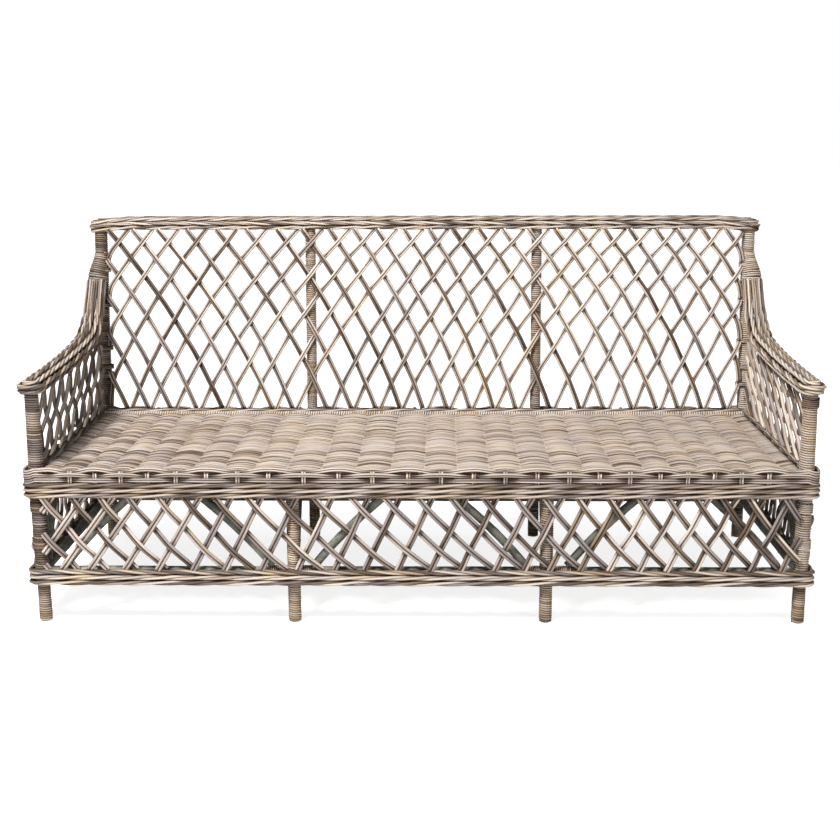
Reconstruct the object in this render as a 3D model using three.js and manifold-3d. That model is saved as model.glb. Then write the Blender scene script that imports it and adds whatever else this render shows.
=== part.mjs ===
// A rattan garden sofa for three: a frame of round rattan poles, open lattice panels of paired canes,
// woven borders round the seat and the foot, a woven seat, and braided arms and crest.
// Millimetres. +X runs to the right as seen from the front, +Y to the back and +Z up.
// The origin is on the floor, under the middle of the sofa.
import * as THREE from 'three'
import { mergeVertices } from 'three/addons/utils/BufferGeometryUtils.js'
import Module from 'manifold-3d'

const wasm = await Module()
wasm.setup()

// Clearance between pieces that touch
const gap = 0.3

// Plan: centre lines of the posts
const postSpan = 1836
const postDepth = 688
const frontLegSpan = 611
const backPostSpan = 642

// Heights
const seatTop = 388
const seatEdgeDrop = 2
const armTopFront = 607
const crestTop = 933
const bottomRailHeight = 128

// Poles, before anything is wound round them
const cornerPostRadius = 15.5
const middlePostRadius = 12.5
const footRadius = 13.5
const railRadius = 13
const armRailRadius = 12
const bearerRadius = 11
const braceRadius = 10

// Peel windings on the poles
const cornerWrap = 3
const middleWrap = 2.5
const footWrap = 2
const bindingWrap = 2.5
const bindingHeight = 14
const lashingLength = 46

// Back: how far the top leans behind the seat
const backLean = 46

// Seat
const weaveThickness = 8
const stakeThickness = 6
const stakeWidth = 14
const stakePitch = 76

// Woven borders round the seat and the foot
const seatBorderHeight = 66
const footBorderHeight = 43
const footBorderTop = 142
const borderThickness = 13
const borderRowHeight = 14.5
const borderRowHollow = 2.2

// Crest over the top rail
const crestHeight = 38
const crestDepth = 56
const crestOverhang = 35
const topRailOverhang = 6

// Arms
const armWidth = 74
const armThickness = 38
const armTip = 40
const armEndWidth = 42
const armEndThickness = 24
const armEndShift = 16
const backWrapShare = 0.486

// Lattice canes, laid in pairs
const backCaneWidth = 14
const skirtCaneWidth = 17
const caneThickness = 6
const caneLayerGap = 0.4
const caneStripHeight = 6
const caneStripInset = 1
const backCanePitch = 73.4
const skirtCanePitch = 76
const armCanePitch = 82
const backCaneRun = 308
const skirtRunFalling = 183
const skirtRunRising = 137
const armCaneRun = 66

// Knee braces between the foot of a leg and the seat frame. The two in a bay stay apart at their tops.
const braceApart = 96
const braceBow = 12
const sideBraceReach = 170
const bearerBraceReach = 190

// Counts
const postSides = 10
const poleSides = 8
const sleeveSides = 10

// Heights that follow from the sizes above
const seatUnder = seatTop - weaveThickness
const seatEdge = seatTop - seatEdgeDrop
const stakeTop = seatUnder - gap
const stakeUnder = stakeTop - stakeThickness
const railTop = stakeUnder - gap
const seatRailHeight = railTop - railRadius
const bearerHeight = railTop - bearerRadius
const crestMiddle = crestTop - crestHeight / 2
const crestUnder = crestTop - crestHeight
const armEndHeight = crestUnder - (crestUnder - armTopFront) * backWrapShare
const postTop = crestMiddle - railRadius - gap
const armMiddleFront = armTopFront - armThickness / 2
const armPostTop = armMiddleFront - armRailRadius - gap
const seatBorderUnder = seatTop - seatBorderHeight
const footBorderUnder = footBorderTop - footBorderHeight

// Plan lines that follow from the sizes above
const cornerOuter = cornerPostRadius + cornerWrap
const middleOuter = middlePostRadius + middleWrap
const bindingOuter = cornerOuter + gap + bindingWrap
const postHalf = postSpan / 2
const backReach = backLean + crestDepth / 2
const frontLine = -(postDepth + backReach - armTip) / 2
const backLine = frontLine + postDepth
const leanSlope = backLean / (postTop - seatTop)

// Lattice layers, measured outwards from the line of the posts
const innerLayer = Math.max(middleOuter, railRadius + bindingWrap) + gap + caneThickness / 2
const outerLayer = innerLayer + caneThickness + caneLayerGap
const innerFace = innerLayer - caneThickness / 2
const caneStop = Math.sqrt((bindingOuter + gap) ** 2 - innerFace ** 2)

// The back rail of the seat lies on the bearers, in front of the lattice
const backRailLine = backLine - outerLayer - caneThickness / 2 - gap - railRadius
const backRailHeight = railTop + gap + railRadius
const backRailFront = backRailLine - railRadius - gap
const backRailEnd = postHalf - railRadius - gap

// The swelling at the lower end of the winding on a back post, and the canes' distance from that post
const backWrapSwell = (armEndWidth + armEndThickness) / 6
const backCaneStop = cornerOuter + 2 * gap + backWrapSwell - armEndShift / 2

// Colours seen on the sofa
const peel = { color: 0x9b8468, roughness: 0.7, metalness: 0 }
const darkPole = { color: 0x4f463a, roughness: 0.75, metalness: 0 }
const cane = { color: 0x8f7a62, roughness: 0.65, metalness: 0 }
const weave = { color: 0xa89278, roughness: 0.72, metalness: 0 }

const sofa = new THREE.Group()

function addPiece(name, geometry, look) {
  const mesh = new THREE.Mesh(geometry, new THREE.MeshStandardMaterial(look))
  mesh.name = name
  sofa.add(mesh)
  return mesh
}

// Keeps only positions, and merges the corners that faces share
function bare(geometry) {
  const plain = geometry.index ? geometry.toNonIndexed() : geometry
  plain.deleteAttribute('normal')
  plain.deleteAttribute('uv')
  return mergeVertices(plain, gap / 300)
}

function toSolid(geometry) {
  const plain = bare(geometry)
  const vertProperties = new Float32Array(plain.attributes.position.array)
  const triVerts = new Uint32Array(plain.index.array)
  return new wasm.Manifold(new wasm.Mesh({ numProp: 3, vertProperties, triVerts }))
}

function fromSolid(solid) {
  const mesh = solid.getMesh()
  const geometry = new THREE.BufferGeometry()
  geometry.setAttribute('position', new THREE.BufferAttribute(new Float32Array(mesh.vertProperties), 3))
  geometry.setIndex(new THREE.BufferAttribute(new Uint32Array(mesh.triVerts), 1))
  return geometry
}

function cut(geometry, cutters) {
  let solid = toSolid(geometry)
  for (const cutter of cutters) {
    solid = solid.subtract(toSolid(cutter))
  }
  return fromSolid(solid)
}

function joined(geometries) {
  return fromSolid(wasm.Manifold.union(geometries.map(toSolid)))
}

// Moves every corner of a geometry by a rule
function reshape(geometry, rule) {
  const place = geometry.attributes.position
  const point = new THREE.Vector3()
  for (let i = 0; i < place.count; i += 1) {
    point.fromBufferAttribute(place, i)
    rule(point)
    place.setXYZ(i, point.x, point.y, point.z)
  }
  return geometry
}

// Everything above the seat at the back leans backwards
function lean(geometry) {
  return reshape(geometry, (point) => {
    point.y += Math.max(0, point.z - seatTop) * leanSlope
  })
}

// A turned solid from a profile of [radius, height] points
function turned(profile, sides) {
  const points = profile.map(([radius, height]) => new THREE.Vector2(radius, height))
  return new THREE.LatheGeometry(points, sides).rotateX(Math.PI / 2)
}

// An upright pole with its foot on the floor. steps are [radius, top height] from the foot upwards.
function upright(steps) {
  const profile = [[0, 0]]
  let level = 0
  for (const [radius, top] of steps) {
    profile.push([radius, level], [radius, top])
    level = top
  }
  profile.push([0, level])
  return turned(profile, postSides)
}

// A hollow winding round an upright pole
function sleeve(inner, outer, low, high, sides = sleeveSides) {
  return turned([[inner, low], [outer, low], [outer, high], [inner, high], [inner, low]], sides)
}

// A straight round pole between two points
function pole(from, to, radius, sides = poleSides) {
  const along = new THREE.Vector3().subVectors(to, from)
  const body = new THREE.CylinderGeometry(radius, radius, along.length(), sides)
  const upward = new THREE.Vector3(0, 1, 0)
  const turn = new THREE.Quaternion().setFromUnitVectors(upward, along.clone().normalize())
  const middle = new THREE.Vector3().addVectors(from, to).multiplyScalar(1 / 2)
  return body.applyQuaternion(turn).translate(middle.x, middle.y, middle.z)
}

// Puts a skin over a row of rings that all have as many points, and closes both ends
function loft(rings, section) {
  const count = rings[0].length
  const positions = rings.flat().flatMap((point) => [point.x, point.y, point.z])
  const faces = []
  for (let r = 0; r + 1 < rings.length; r += 1) {
    for (let i = 0; i < count; i += 1) {
      const here = r * count + i
      const next = r * count + ((i + 1) % count)
      faces.push(here, next, here + count, next, next + count, here + count)
    }
  }
  const last = (rings.length - 1) * count
  for (const [a, b, c] of THREE.ShapeUtils.triangulateShape(section, [])) {
    faces.push(a, c, b, last + a, last + b, last + c)
  }
  const geometry = new THREE.BufferGeometry()
  geometry.setAttribute('position', new THREE.BufferAttribute(new Float32Array(positions), 3))
  geometry.setIndex(faces)
  return facingOut(geometry)
}

// Turns the faces over if they point inwards
function facingOut(geometry) {
  const place = geometry.attributes.position
  const corners = geometry.index.array
  const a = new THREE.Vector3()
  const b = new THREE.Vector3()
  const c = new THREE.Vector3()
  let volume = 0
  for (let i = 0; i < corners.length; i += 3) {
    a.fromBufferAttribute(place, corners[i])
    b.fromBufferAttribute(place, corners[i + 1])
    c.fromBufferAttribute(place, corners[i + 2])
    volume += a.dot(b.cross(c))
  }
  if (volume < 0) {
    for (let i = 0; i < corners.length; i += 3) {
      const swap = corners[i + 1]
      corners[i + 1] = corners[i + 2]
      corners[i + 2] = swap
    }
  }
  return geometry
}

// A pole that leans along X between two levels and bows upwards, cut level at both ends
function leaningPole(start, end, low, high, radius, bow) {
  const steps = 3
  const height = high - low
  const body = new THREE.CylinderGeometry(radius, radius, height, 6, steps).rotateX(Math.PI / 2)
  const stretch = Math.hypot(end - start, height) / height
  return reshape(body, (point) => {
    const share = point.z / height + 1 / 2
    const bulge = bow * 4 * share * (1 - share)
    point.x = start + (end - start) * share + point.x * stretch - Math.sign(end - start) * bulge
    point.z = low + share * height
  })
}

// One pair of canes in a lattice: a flat strap that curves across the panel, cut level at both ends.
// pathAt gives the distance along the panel at a height.
function caneStrap(pathAt, low, high, width, layer, steps) {
  const height = high - low
  const body = new THREE.BoxGeometry(width, caneThickness, height, 1, 1, steps)
  const slope = (pathAt(high) - pathAt(low)) / height
  const stretch = Math.hypot(1, slope)
  return reshape(body, (point) => {
    const level = low + (point.z / height + 1 / 2) * height
    point.x = pathAt(level) + point.x * stretch
    point.y += layer
    point.z = level
  })
}

// Finds the lowest and the highest level at which a strap still lies inside a panel
function trimmed(pathAt, low, high, inside) {
  const tries = 240
  const levels = []
  for (let i = 0; i <= tries; i += 1) {
    const level = low + (high - low) * i / tries
    if (inside(pathAt(level), level)) {
      levels.push(level)
    }
  }
  return levels.length > 1 ? [levels[0], levels[levels.length - 1]] : null
}

// One family of parallel canes. direction is +1 where the canes run to +X on their way down.
// The share places the canes along the pitch: at the top for +1, at the foot for -1.
function caneFamily(panel, direction, run, share, layer) {
  const { half, low, high, pitch, curveShare, width, steps, topAt } = panel
  const height = high - low
  const first = -Math.ceil((half + run) / pitch)
  const halfStrap = width / 2 * Math.hypot(1, run * (1 + Math.abs(curveShare)) / height)
  const family = []
  for (let k = first; k <= -first; k += 1) {
    const pathAt = (level) => {
      const down = (high - level) / height
      const across = run * ((1 + curveShare) * down - curveShare * down * down)
      return (k + share) * pitch + (direction > 0 ? across : run - across)
    }
    const inside = (x, level) => Math.abs(x) + halfStrap <= half && (!topAt || level <= topAt(x, halfStrap))
    const range = trimmed(pathAt, low, high, inside)
    const joins = range && (range[0] === low || (!topAt && range[1] === high))
    if (joins && range[1] - range[0] > 2 * width) {
      family.push(caneStrap(pathAt, range[0], range[1], width, layer, steps))
    }
  }
  return family
}

// A lattice panel in the XZ plane: two families of canes in two layers, held by a strip along the foot
// and, where the panel has a level top, by one along the top
function lattice(panel) {
  const inset = caneStripHeight / 2
  const canes = { ...panel, low: panel.low + inset, high: panel.topAt ? panel.high : panel.high - inset }
  const levels = panel.topAt ? [panel.low + inset] : [panel.low + inset, panel.high - inset]
  const [near, far] = panel.layers
  const depth = Math.abs(far - near) + caneThickness - 2 * caneStripInset
  const strips = levels.map((level) => new THREE.BoxGeometry(2 * panel.half, depth, caneStripHeight)
    .translate(0, -(near + far) / 2, level))
  return joined([
    ...caneFamily(canes, -1, panel.runRising, panel.risingShare, -near),
    ...caneFamily(canes, 1, panel.runFalling, panel.fallingShare, -far),
    ...strips,
  ])
}

function addPosts() {
  const foot = [footRadius + footWrap, bottomRailHeight - railRadius - gap]
  const rail = [cornerPostRadius, bottomRailHeight + railRadius + gap]
  const bindShares = [0.26, 0.7]
  const skirtHeight = seatRailHeight - railRadius - gap - rail[1]
  const skirtTop = seatRailHeight - railRadius - gap
  const bands = bindShares.flatMap((share) => {
    const level = rail[1] + skirtHeight * share
    return [[cornerOuter, level], [cornerOuter + bindingWrap, level + bindingHeight]]
  })
  const railZone = [cornerPostRadius, railTop + gap]
  const front = upright([foot, rail, ...bands, [cornerOuter, skirtTop], railZone,
    [cornerPostRadius, armPostTop]])
  const back = upright([foot, rail, [cornerOuter, skirtTop], railZone, [cornerOuter, seatTop],
    [cornerOuter, armEndHeight], [cornerPostRadius, postTop]])
  const leg = upright([foot, [middlePostRadius, skirtTop]])
  const middle = upright([foot, [middleOuter, seatTop], [middleOuter, postTop]])
  addPiece('front_left_post', front.clone().translate(-postHalf, frontLine, 0), darkPole)
  addPiece('front_right_post', front.clone().translate(postHalf, frontLine, 0), darkPole)
  addPiece('back_left_post', lean(back.clone().translate(-postHalf, backLine, 0)), darkPole)
  addPiece('back_right_post', lean(back.clone().translate(postHalf, backLine, 0)), darkPole)
  addPiece('front_mid_left_leg', leg.clone().translate(-frontLegSpan / 2, frontLine, 0), darkPole)
  addPiece('front_mid_right_leg', leg.clone().translate(frontLegSpan / 2, frontLine, 0), darkPole)
  addPiece('back_mid_left_post', lean(middle.clone().translate(-backPostSpan / 2, backLine, 0)), peel)
  addPiece('back_mid_right_post', lean(middle.clone().translate(backPostSpan / 2, backLine, 0)), peel)
}

// The winding on a front post, from the seat to the arm, with the band that holds the first canes
function frontPostWrap(side) {
  const low = railTop + gap
  const high = armPostTop - gap
  const band = high - armThickness / 2 - bindingHeight
  const inner = cornerPostRadius + gap
  const outer = cornerOuter + bindingWrap
  const profile = [[inner, low], [cornerOuter, low], [cornerOuter, band], [outer, band],
    [outer, band + bindingHeight], [cornerOuter, band + bindingHeight], [cornerOuter, high], [inner, high]]
  return turned([...profile, profile[0]], sleeveSides).translate(side * postHalf, frontLine, 0)
}

// The winding at the top of a back corner post swells at its lower end, where it holds the arm's strands
function backPostWrap(side) {
  const swellShares = [1, 0.72, 0.34, 0.06, 0]
  const low = armEndHeight + gap
  const high = crestUnder - gap
  const last = swellShares.length - 1
  const levels = swellShares.map((_, i) => (i < last ? low + (high - low) * i / last / 2 : high))
  const shift = side * armEndShift / 2
  const forward = armEndThickness / 2
  const section = new THREE.EllipseCurve(0, 0, 1, 1).getPoints(sleeveSides).slice(0, sleeveSides)
  const rings = levels.map((level, i) => section.map((point) => new THREE.Vector3(
    shift * swellShares[i] + point.x * (cornerOuter + gap + backWrapSwell * swellShares[i]),
    -forward * swellShares[i] + point.y * (cornerOuter + gap + backWrapSwell * swellShares[i]),
    level,
  )))
  const bore = new THREE.CylinderGeometry(cornerPostRadius + gap, cornerPostRadius + gap, postTop, postSides)
    .rotateX(Math.PI / 2).translate(0, 0, postTop)
  return lean(cut(loft(rings, section), [bore]).translate(side * postHalf, backLine, 0))
}

function frontLegWrap(side) {
  const low = bottomRailHeight + railRadius + gap
  const high = seatRailHeight - railRadius - gap
  return sleeve(middlePostRadius + gap, middleOuter, low, high)
    .translate(side * frontLegSpan / 2, frontLine, 0)
}

function addWraps() {
  addPiece('front_left_post_wrap', frontPostWrap(-1), peel)
  addPiece('front_right_post_wrap', frontPostWrap(1), peel)
  addPiece('back_left_post_wrap', backPostWrap(-1), peel)
  addPiece('back_right_post_wrap', backPostWrap(1), peel)
  addPiece('front_mid_left_leg_wrap', frontLegWrap(-1), peel)
  addPiece('front_mid_right_leg_wrap', frontLegWrap(1), peel)
}

// A rail along X with a lashing of peel round each end that meets a middle leg
function lashedRail(from, to, line, height, lashings) {
  const length = to - from
  const outer = railRadius + bindingWrap
  const near = middleWrap + gap
  const far = near + lashingLength
  const lashing = [[railRadius, near], [outer, near], [outer, far], [railRadius, far]]
  const mirrored = lashing.map(([radius, along]) => [radius, length - along]).reverse()
  const head = lashings.includes(-1) ? lashing : []
  const tail = lashings.includes(1) ? mirrored : []
  return turned([[0, 0], [railRadius, 0], ...head, ...tail, [railRadius, length], [0, length]], poleSides)
    .rotateY(Math.PI / 2).translate(from, line, height)
}

// A rail in front of the middle posts of the back, from one side rail to the other
function innerRail(line, height) {
  const left = new THREE.Vector3(-backRailEnd, line, height)
  const right = new THREE.Vector3(backRailEnd, line, height)
  return pole(left, right, railRadius)
}

function sideRail(side, height) {
  const stop = cornerPostRadius + gap
  return pole(
    new THREE.Vector3(side * postHalf, frontLine + stop, height),
    new THREE.Vector3(side * postHalf, backLine - stop, height),
    railRadius,
  )
}

function addRails() {
  const cornerEnd = postHalf - cornerPostRadius - gap
  const legInner = frontLegSpan / 2 - middlePostRadius - gap
  const legOuter = frontLegSpan / 2 + middlePostRadius + gap
  const low = bottomRailHeight
  const frontRail = pole(
    new THREE.Vector3(-cornerEnd, frontLine, seatRailHeight),
    new THREE.Vector3(cornerEnd, frontLine, seatRailHeight),
    railRadius,
  )
  const topEnd = postHalf + topRailOverhang
  const topRail = pole(
    new THREE.Vector3(-topEnd, backLine + backLean, crestMiddle),
    new THREE.Vector3(topEnd, backLine + backLean, crestMiddle),
    railRadius,
  )
  addPiece('seat_front_rail', frontRail, darkPole)
  addPiece('seat_back_rail', innerRail(backRailLine, backRailHeight), peel)
  addPiece('seat_left_rail', sideRail(-1, seatRailHeight), darkPole)
  addPiece('seat_right_rail', sideRail(1, seatRailHeight), darkPole)
  addPiece('bottom_front_rail_left', lashedRail(-cornerEnd, -legOuter, frontLine, low, [1]), darkPole)
  addPiece('bottom_front_rail_middle', lashedRail(-legInner, legInner, frontLine, low, [-1, 1]), darkPole)
  addPiece('bottom_front_rail_right', lashedRail(legOuter, cornerEnd, frontLine, low, [-1]), darkPole)
  addPiece('bottom_back_rail', innerRail(backLine - middleOuter - gap - railRadius, low), darkPole)
  addPiece('bottom_left_rail', sideRail(-1, low), darkPole)
  addPiece('bottom_right_rail', sideRail(1, low), darkPole)
  addPiece('top_rail', topRail, darkPole)
}

// The poles that carry the seat from front to back, one over each middle leg and one between them
function addBearers() {
  const start = frontLine + railRadius + gap
  const end = backLine - middleOuter - gap
  const places = { left: -frontLegSpan / 2, middle: 0, right: frontLegSpan / 2 }
  for (const [name, x] of Object.entries(places)) {
    const front = new THREE.Vector3(x, start, bearerHeight)
    const back = new THREE.Vector3(x, end, bearerHeight)
    addPiece('seat_bearer_' + name, pole(front, back, bearerRadius), darkPole)
  }
}

// Knee braces: bent poles that run from beside a leg, over its bottom rail, up to the seat frame
const braceHigh = seatRailHeight - railRadius - gap
const braceLowOnRail = bottomRailHeight + railRadius + gap
const braceLowOnLashing = braceLowOnRail + bindingWrap

function besideLeg(legRadius, reach, low) {
  const height = braceHigh - low
  return legRadius + gap + (braceRadius + braceBow) * Math.hypot(reach, height) / height
}

function frontBrace(leg, way, bay, legRadius, low) {
  const reach = (bay - braceApart) / 2
  const offset = besideLeg(legRadius, reach, low)
  return leaningPole(leg + way * offset, leg + way * reach, low, braceHigh, braceRadius, braceBow)
    .translate(0, frontLine, 0)
}

function addBraces() {
  const middle = frontLegSpan / 2
  const corner = cornerOuter + bindingWrap
  const side = postHalf - middle
  const low = braceLowOnLashing
  addPiece('brace_left_corner', frontBrace(-postHalf, 1, side, corner, braceLowOnRail), darkPole)
  addPiece('brace_mid_left_outer', frontBrace(-middle, -1, side, middleOuter, low), darkPole)
  addPiece('brace_mid_left_inner', frontBrace(-middle, 1, frontLegSpan, middleOuter, low), darkPole)
  addPiece('brace_mid_right_inner', frontBrace(middle, -1, frontLegSpan, middleOuter, low), darkPole)
  addPiece('brace_mid_right_outer', frontBrace(middle, 1, side, middleOuter, low), darkPole)
  addPiece('brace_right_corner', frontBrace(postHalf, -1, side, corner, braceLowOnRail), darkPole)
  for (const way of [-1, 1]) {
    const name = way < 0 ? 'left' : 'right'
    const sideStart = besideLeg(corner, sideBraceReach, braceLowOnRail)
    const sideBrace = leaningPole(sideStart, sideBraceReach, braceLowOnRail, braceHigh, braceRadius, braceBow)
      .rotateZ(Math.PI / 2).translate(way * postHalf, frontLine, 0)
    const high = bearerHeight - bearerRadius - gap
    const depthStart = besideLeg(middleOuter, bearerBraceReach, braceLowOnRail)
    const depthBrace = leaningPole(depthStart, bearerBraceReach, braceLowOnRail, high, braceRadius, braceBow)
      .rotateZ(Math.PI / 2).translate(way * middle, frontLine, 0)
    addPiece('brace_' + name + '_side', sideBrace, darkPole)
    addPiece('brace_mid_' + name + '_depth', depthBrace, darkPole)
  }
}

const backLayers = [innerLayer, outerLayer]

function addBackLattice() {
  const panel = {
    half: postHalf - backCaneStop,
    low: seatEdge + gap,
    high: crestUnder - gap,
    pitch: backCanePitch,
    runRising: backCaneRun,
    runFalling: backCaneRun,
    fallingShare: 1 / 4 - backCaneRun / backCanePitch / 2,
    risingShare: -1 / 4 - backCaneRun / backCanePitch / 2,
    curveShare: 0.35,
    width: backCaneWidth,
    steps: 3,
    layers: backLayers,
  }
  addPiece('back_lattice', lean(lattice(panel).translate(0, backLine, 0)), cane)
}

function skirtPanel(length, steps) {
  return {
    half: length / 2 - caneStop,
    low: footBorderTop + gap,
    high: seatBorderUnder - gap,
    pitch: skirtCanePitch,
    runRising: skirtRunRising,
    runFalling: skirtRunFalling,
    fallingShare: -0.15,
    risingShare: 0.33,
    curveShare: -0.25,
    width: skirtCaneWidth,
    steps,
    layers: backLayers,
  }
}

function addSkirtLattices() {
  const middle = (frontLine + backLine) / 2
  const long = skirtPanel(postSpan, 2)
  const short = skirtPanel(postDepth, 1)
  const turn = Math.PI / 2
  addPiece('front_skirt_lattice', lattice(long).translate(0, frontLine, 0), cane)
  const plain = { ...long, steps: 1 }
  addPiece('back_skirt_lattice', lattice(plain).rotateZ(2 * turn).translate(0, backLine, 0), cane)
  addPiece('left_skirt_lattice', lattice(short).rotateZ(-turn).translate(-postHalf, middle, 0), cane)
  addPiece('right_skirt_lattice', lattice(short).rotateZ(turn).translate(postHalf, middle, 0), cane)
}

// The line that an arm follows from the front post to the winding on the back post.
// Shares of the depth between the posts, and shares of the climb from the front of the arm to its end.
const armDepthShares = [0, 0.17, 0.3, 0.43, 0.56, 0.68, 0.765, 0.84, 0.895, 0.935, 0.966, 0.987]
const armRunClimbShares = [0, 0.012, 0.03, 0.056, 0.095, 0.145]
const armRiseClimbShares = [0.215, 0.36, 0.52, 0.69, 0.855, 1]
const armClimbShares = [...armRunClimbShares, ...armRiseClimbShares]
const armClimbStart = armRunClimbShares.length - 1
const armEndPost = backLine + (armEndHeight - seatTop) * leanSlope - cornerOuter
const armEndY = armEndPost - 2 * gap - armEndThickness / 2

function armLine() {
  const climb = armEndHeight - armMiddleFront
  const depth = armEndY - frontLine
  const last = armDepthShares[armDepthShares.length - 1]
  return armDepthShares.map((share, i) => new THREE.Vector2(
    frontLine + depth * share / last,
    armMiddleFront + climb * armClimbShares[i],
  ))
}

// The height of the arm's middle over a place along its depth, and how steeply it climbs there
function armAt(y) {
  const line = armLine()
  const found = line.findIndex((point) => point.x > y)
  const next = found < 0 ? line.length - 1 : Math.max(1, found)
  const before = line[next - 1]
  const slope = (line[next].y - before.y) / (line[next].x - before.x)
  return { height: before.y + slope * (y - before.x), slope, climbing: next > armClimbStart }
}

// Lays a section along the arm. It narrows where it climbs along the back post.
function alongArm(side, section) {
  const line = armLine()
  const start = armClimbShares[armClimbStart]
  return line.map((here, i) => {
    const before = line[Math.max(0, i - 1)]
    const after = line[Math.min(line.length - 1, i + 1)]
    const along = new THREE.Vector2().subVectors(after, before).normalize()
    const share = Math.max(0, armClimbShares[i] - start) / (1 - start)
    const ease = 1 - (1 - share) ** 2
    const wide = 1 + (armEndWidth / armWidth - 1) * ease
    const thick = 1 + (armEndThickness / armThickness - 1) * ease
    const level = i === line.length - 1
    return section.map((point) => new THREE.Vector3(
      side * (postHalf + armEndShift * ease) + point.x * wide,
      here.x - (level ? 1 : along.y) * point.y * thick,
      here.y + (level ? 0 : along.x) * point.y * thick,
    ))
  })
}

// The section of an arm: rounded outside, with a groove below that takes the arm rail and the post head
function armSection() {
  const half = armWidth / 2
  const rise = armThickness / 2
  const groove = cornerOuter + 2 * gap
  const roof = armRailRadius + 2 * gap
  const outerShares = [[0.72, -1], [0.97, -0.72], [1, 0], [0.9, 0.6], [0.6, 0.94], [0, 1]]
  const right = outerShares.map(([x, z]) => [half * x, rise * z])
  const left = right.slice(0, -1).reverse().map(([x, z]) => [-x, z])
  const roofShare = 0.6
  const grooveRight = [
    [groove, -rise],
    [groove, -rise / 3],
    [armRailRadius + 2 * gap, rise / 8],
    [roof * roofShare, roof],
  ]
  const grooveLeft = grooveRight.map(([x, z]) => [-x, z])
  return [...right, ...left, ...grooveLeft, ...grooveRight.reverse()].map(([x, z]) => new THREE.Vector2(x, z))
}

function armBraid(side) {
  const section = armSection()
  const tipShares = [1, 0.83, 0.5]
  const tip = tipShares.map((share) => {
    const width = Math.max(Math.sqrt(1 - share * share), 1 / 3)
    return section.map((point) => new THREE.Vector3(
      side * postHalf + point.x * width,
      frontLine - armTip * share,
      armMiddleFront + point.y,
    ))
  })
  return loft([...tip, ...alongArm(side, section)], section)
}

// The pole inside an arm, from over the post head to the winding on the back post
function armRail(side) {
  const circle = new THREE.EllipseCurve(0, 0, armRailRadius, armRailRadius)
  const section = circle.getPoints(poleSides).slice(0, poleSides)
  return loft(alongArm(side, section), section)
}

function addArms() {
  addPiece('left_arm_rail', armRail(-1), darkPole)
  addPiece('right_arm_rail', armRail(1), darkPole)
  addPiece('left_arm_braid', armBraid(-1), weave)
  addPiece('right_arm_braid', armBraid(1), weave)
}

// The lattice under an arm ends below the arm rail
function addArmLattices() {
  const middle = (frontLine + backLine) / 2
  const layer = (caneThickness + caneLayerGap) / 2
  const climbShare = 0.84
  for (const side of [-1, 1]) {
    const panel = {
      half: postDepth / 2 - cornerOuter - bindingWrap - gap,
      low: seatEdge + gap,
      high: armAt(frontLine + postDepth * climbShare).height,
      pitch: armCanePitch,
      runRising: armCaneRun,
      runFalling: armCaneRun,
      fallingShare: 1 / 4,
      risingShare: -1 / 4,
      curveShare: 0,
      width: backCaneWidth,
      steps: 1,
      layers: [-layer, layer],
      topAt: (x, halfStrap) => {
        const { height, slope, climbing } = armAt(Math.max(frontLine, middle + side * x - halfStrap))
        const below = climbing ? armThickness / 2 : armRailRadius
        return height - (below + gap) * Math.hypot(1, slope) - gap
      },
    }
    const name = side < 0 ? 'left_arm_lattice' : 'right_arm_lattice'
    addPiece(name, lattice(panel).rotateZ(side * Math.PI / 2).translate(side * postHalf, middle, 0), cane)
  }
}

// The section of a woven border: rounded rows outside, flat inside
function borderSection(height) {
  const rows = Math.max(1, Math.round(height / borderRowHeight))
  const row = height / rows
  const outside = []
  for (let i = 0; i < rows; i += 1) {
    outside.push([borderThickness - borderRowHollow, i * row], [borderThickness, (i + 1 / 2) * row])
  }
  outside.push([borderThickness - borderRowHollow, height])
  return [[0, 0], ...outside, [0, height]].map(([out, up]) => new THREE.Vector2(out, up))
}

const borderTurns = 4
const borderInner = (cornerOuter + gap) / Math.cos(Math.PI / 4 / borderTurns)

// A border along X that turns round both corner posts
function cornerBorder(height, under, line, way) {
  const section = borderSection(height)
  const stations = []
  for (const side of [-1, 1]) {
    for (let i = 0; i <= borderTurns; i += 1) {
      const share = side < 0 ? 1 - i / borderTurns : i / borderTurns
      stations.push([side * postHalf, side * share * Math.PI / 2])
    }
  }
  const rings = stations.map(([x, angle]) => section.map((point) => new THREE.Vector3(
    x + Math.sin(angle) * (borderInner + point.x),
    line + way * Math.cos(angle) * (borderInner + point.x),
    under + point.y,
  )))
  return loft(rings, section)
}

function sideBorder(height, under, side) {
  const section = borderSection(height)
  const rings = [frontLine + gap, backLine - gap].map((y) => section.map((point) => new THREE.Vector3(
    side * (postHalf + borderInner + point.x),
    y,
    under + point.y,
  )))
  return loft(rings, section)
}

function addBorders() {
  const kinds = [
    ['seat_border', seatBorderHeight, seatBorderUnder],
    ['foot_border', footBorderHeight, footBorderUnder],
  ]
  for (const [name, height, under] of kinds) {
    addPiece(name + '_front', cornerBorder(height, under, frontLine, -1), weave)
    addPiece(name + '_back', cornerBorder(height, under, backLine, 1), weave)
    addPiece(name + '_left', sideBorder(height, under, -1), weave)
    addPiece(name + '_right', sideBorder(height, under, 1), weave)
  }
}

// Cutters where the middle posts of the back pass through the seat, and where the back rail lies in it
function seatCutters() {
  const radius = middleOuter + gap
  const posts = [-1, 1].map((side) => new THREE.CylinderGeometry(radius, radius, seatTop, postSides)
    .rotateX(Math.PI / 2).translate(side * backPostSpan / 2, backLine, seatTop))
  const slot = new THREE.BoxGeometry(2 * (backRailEnd + gap), 2 * (railRadius + gap), 2 * weaveThickness)
    .translate(0, backRailLine, seatTop)
  return [...posts, slot]
}

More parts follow.
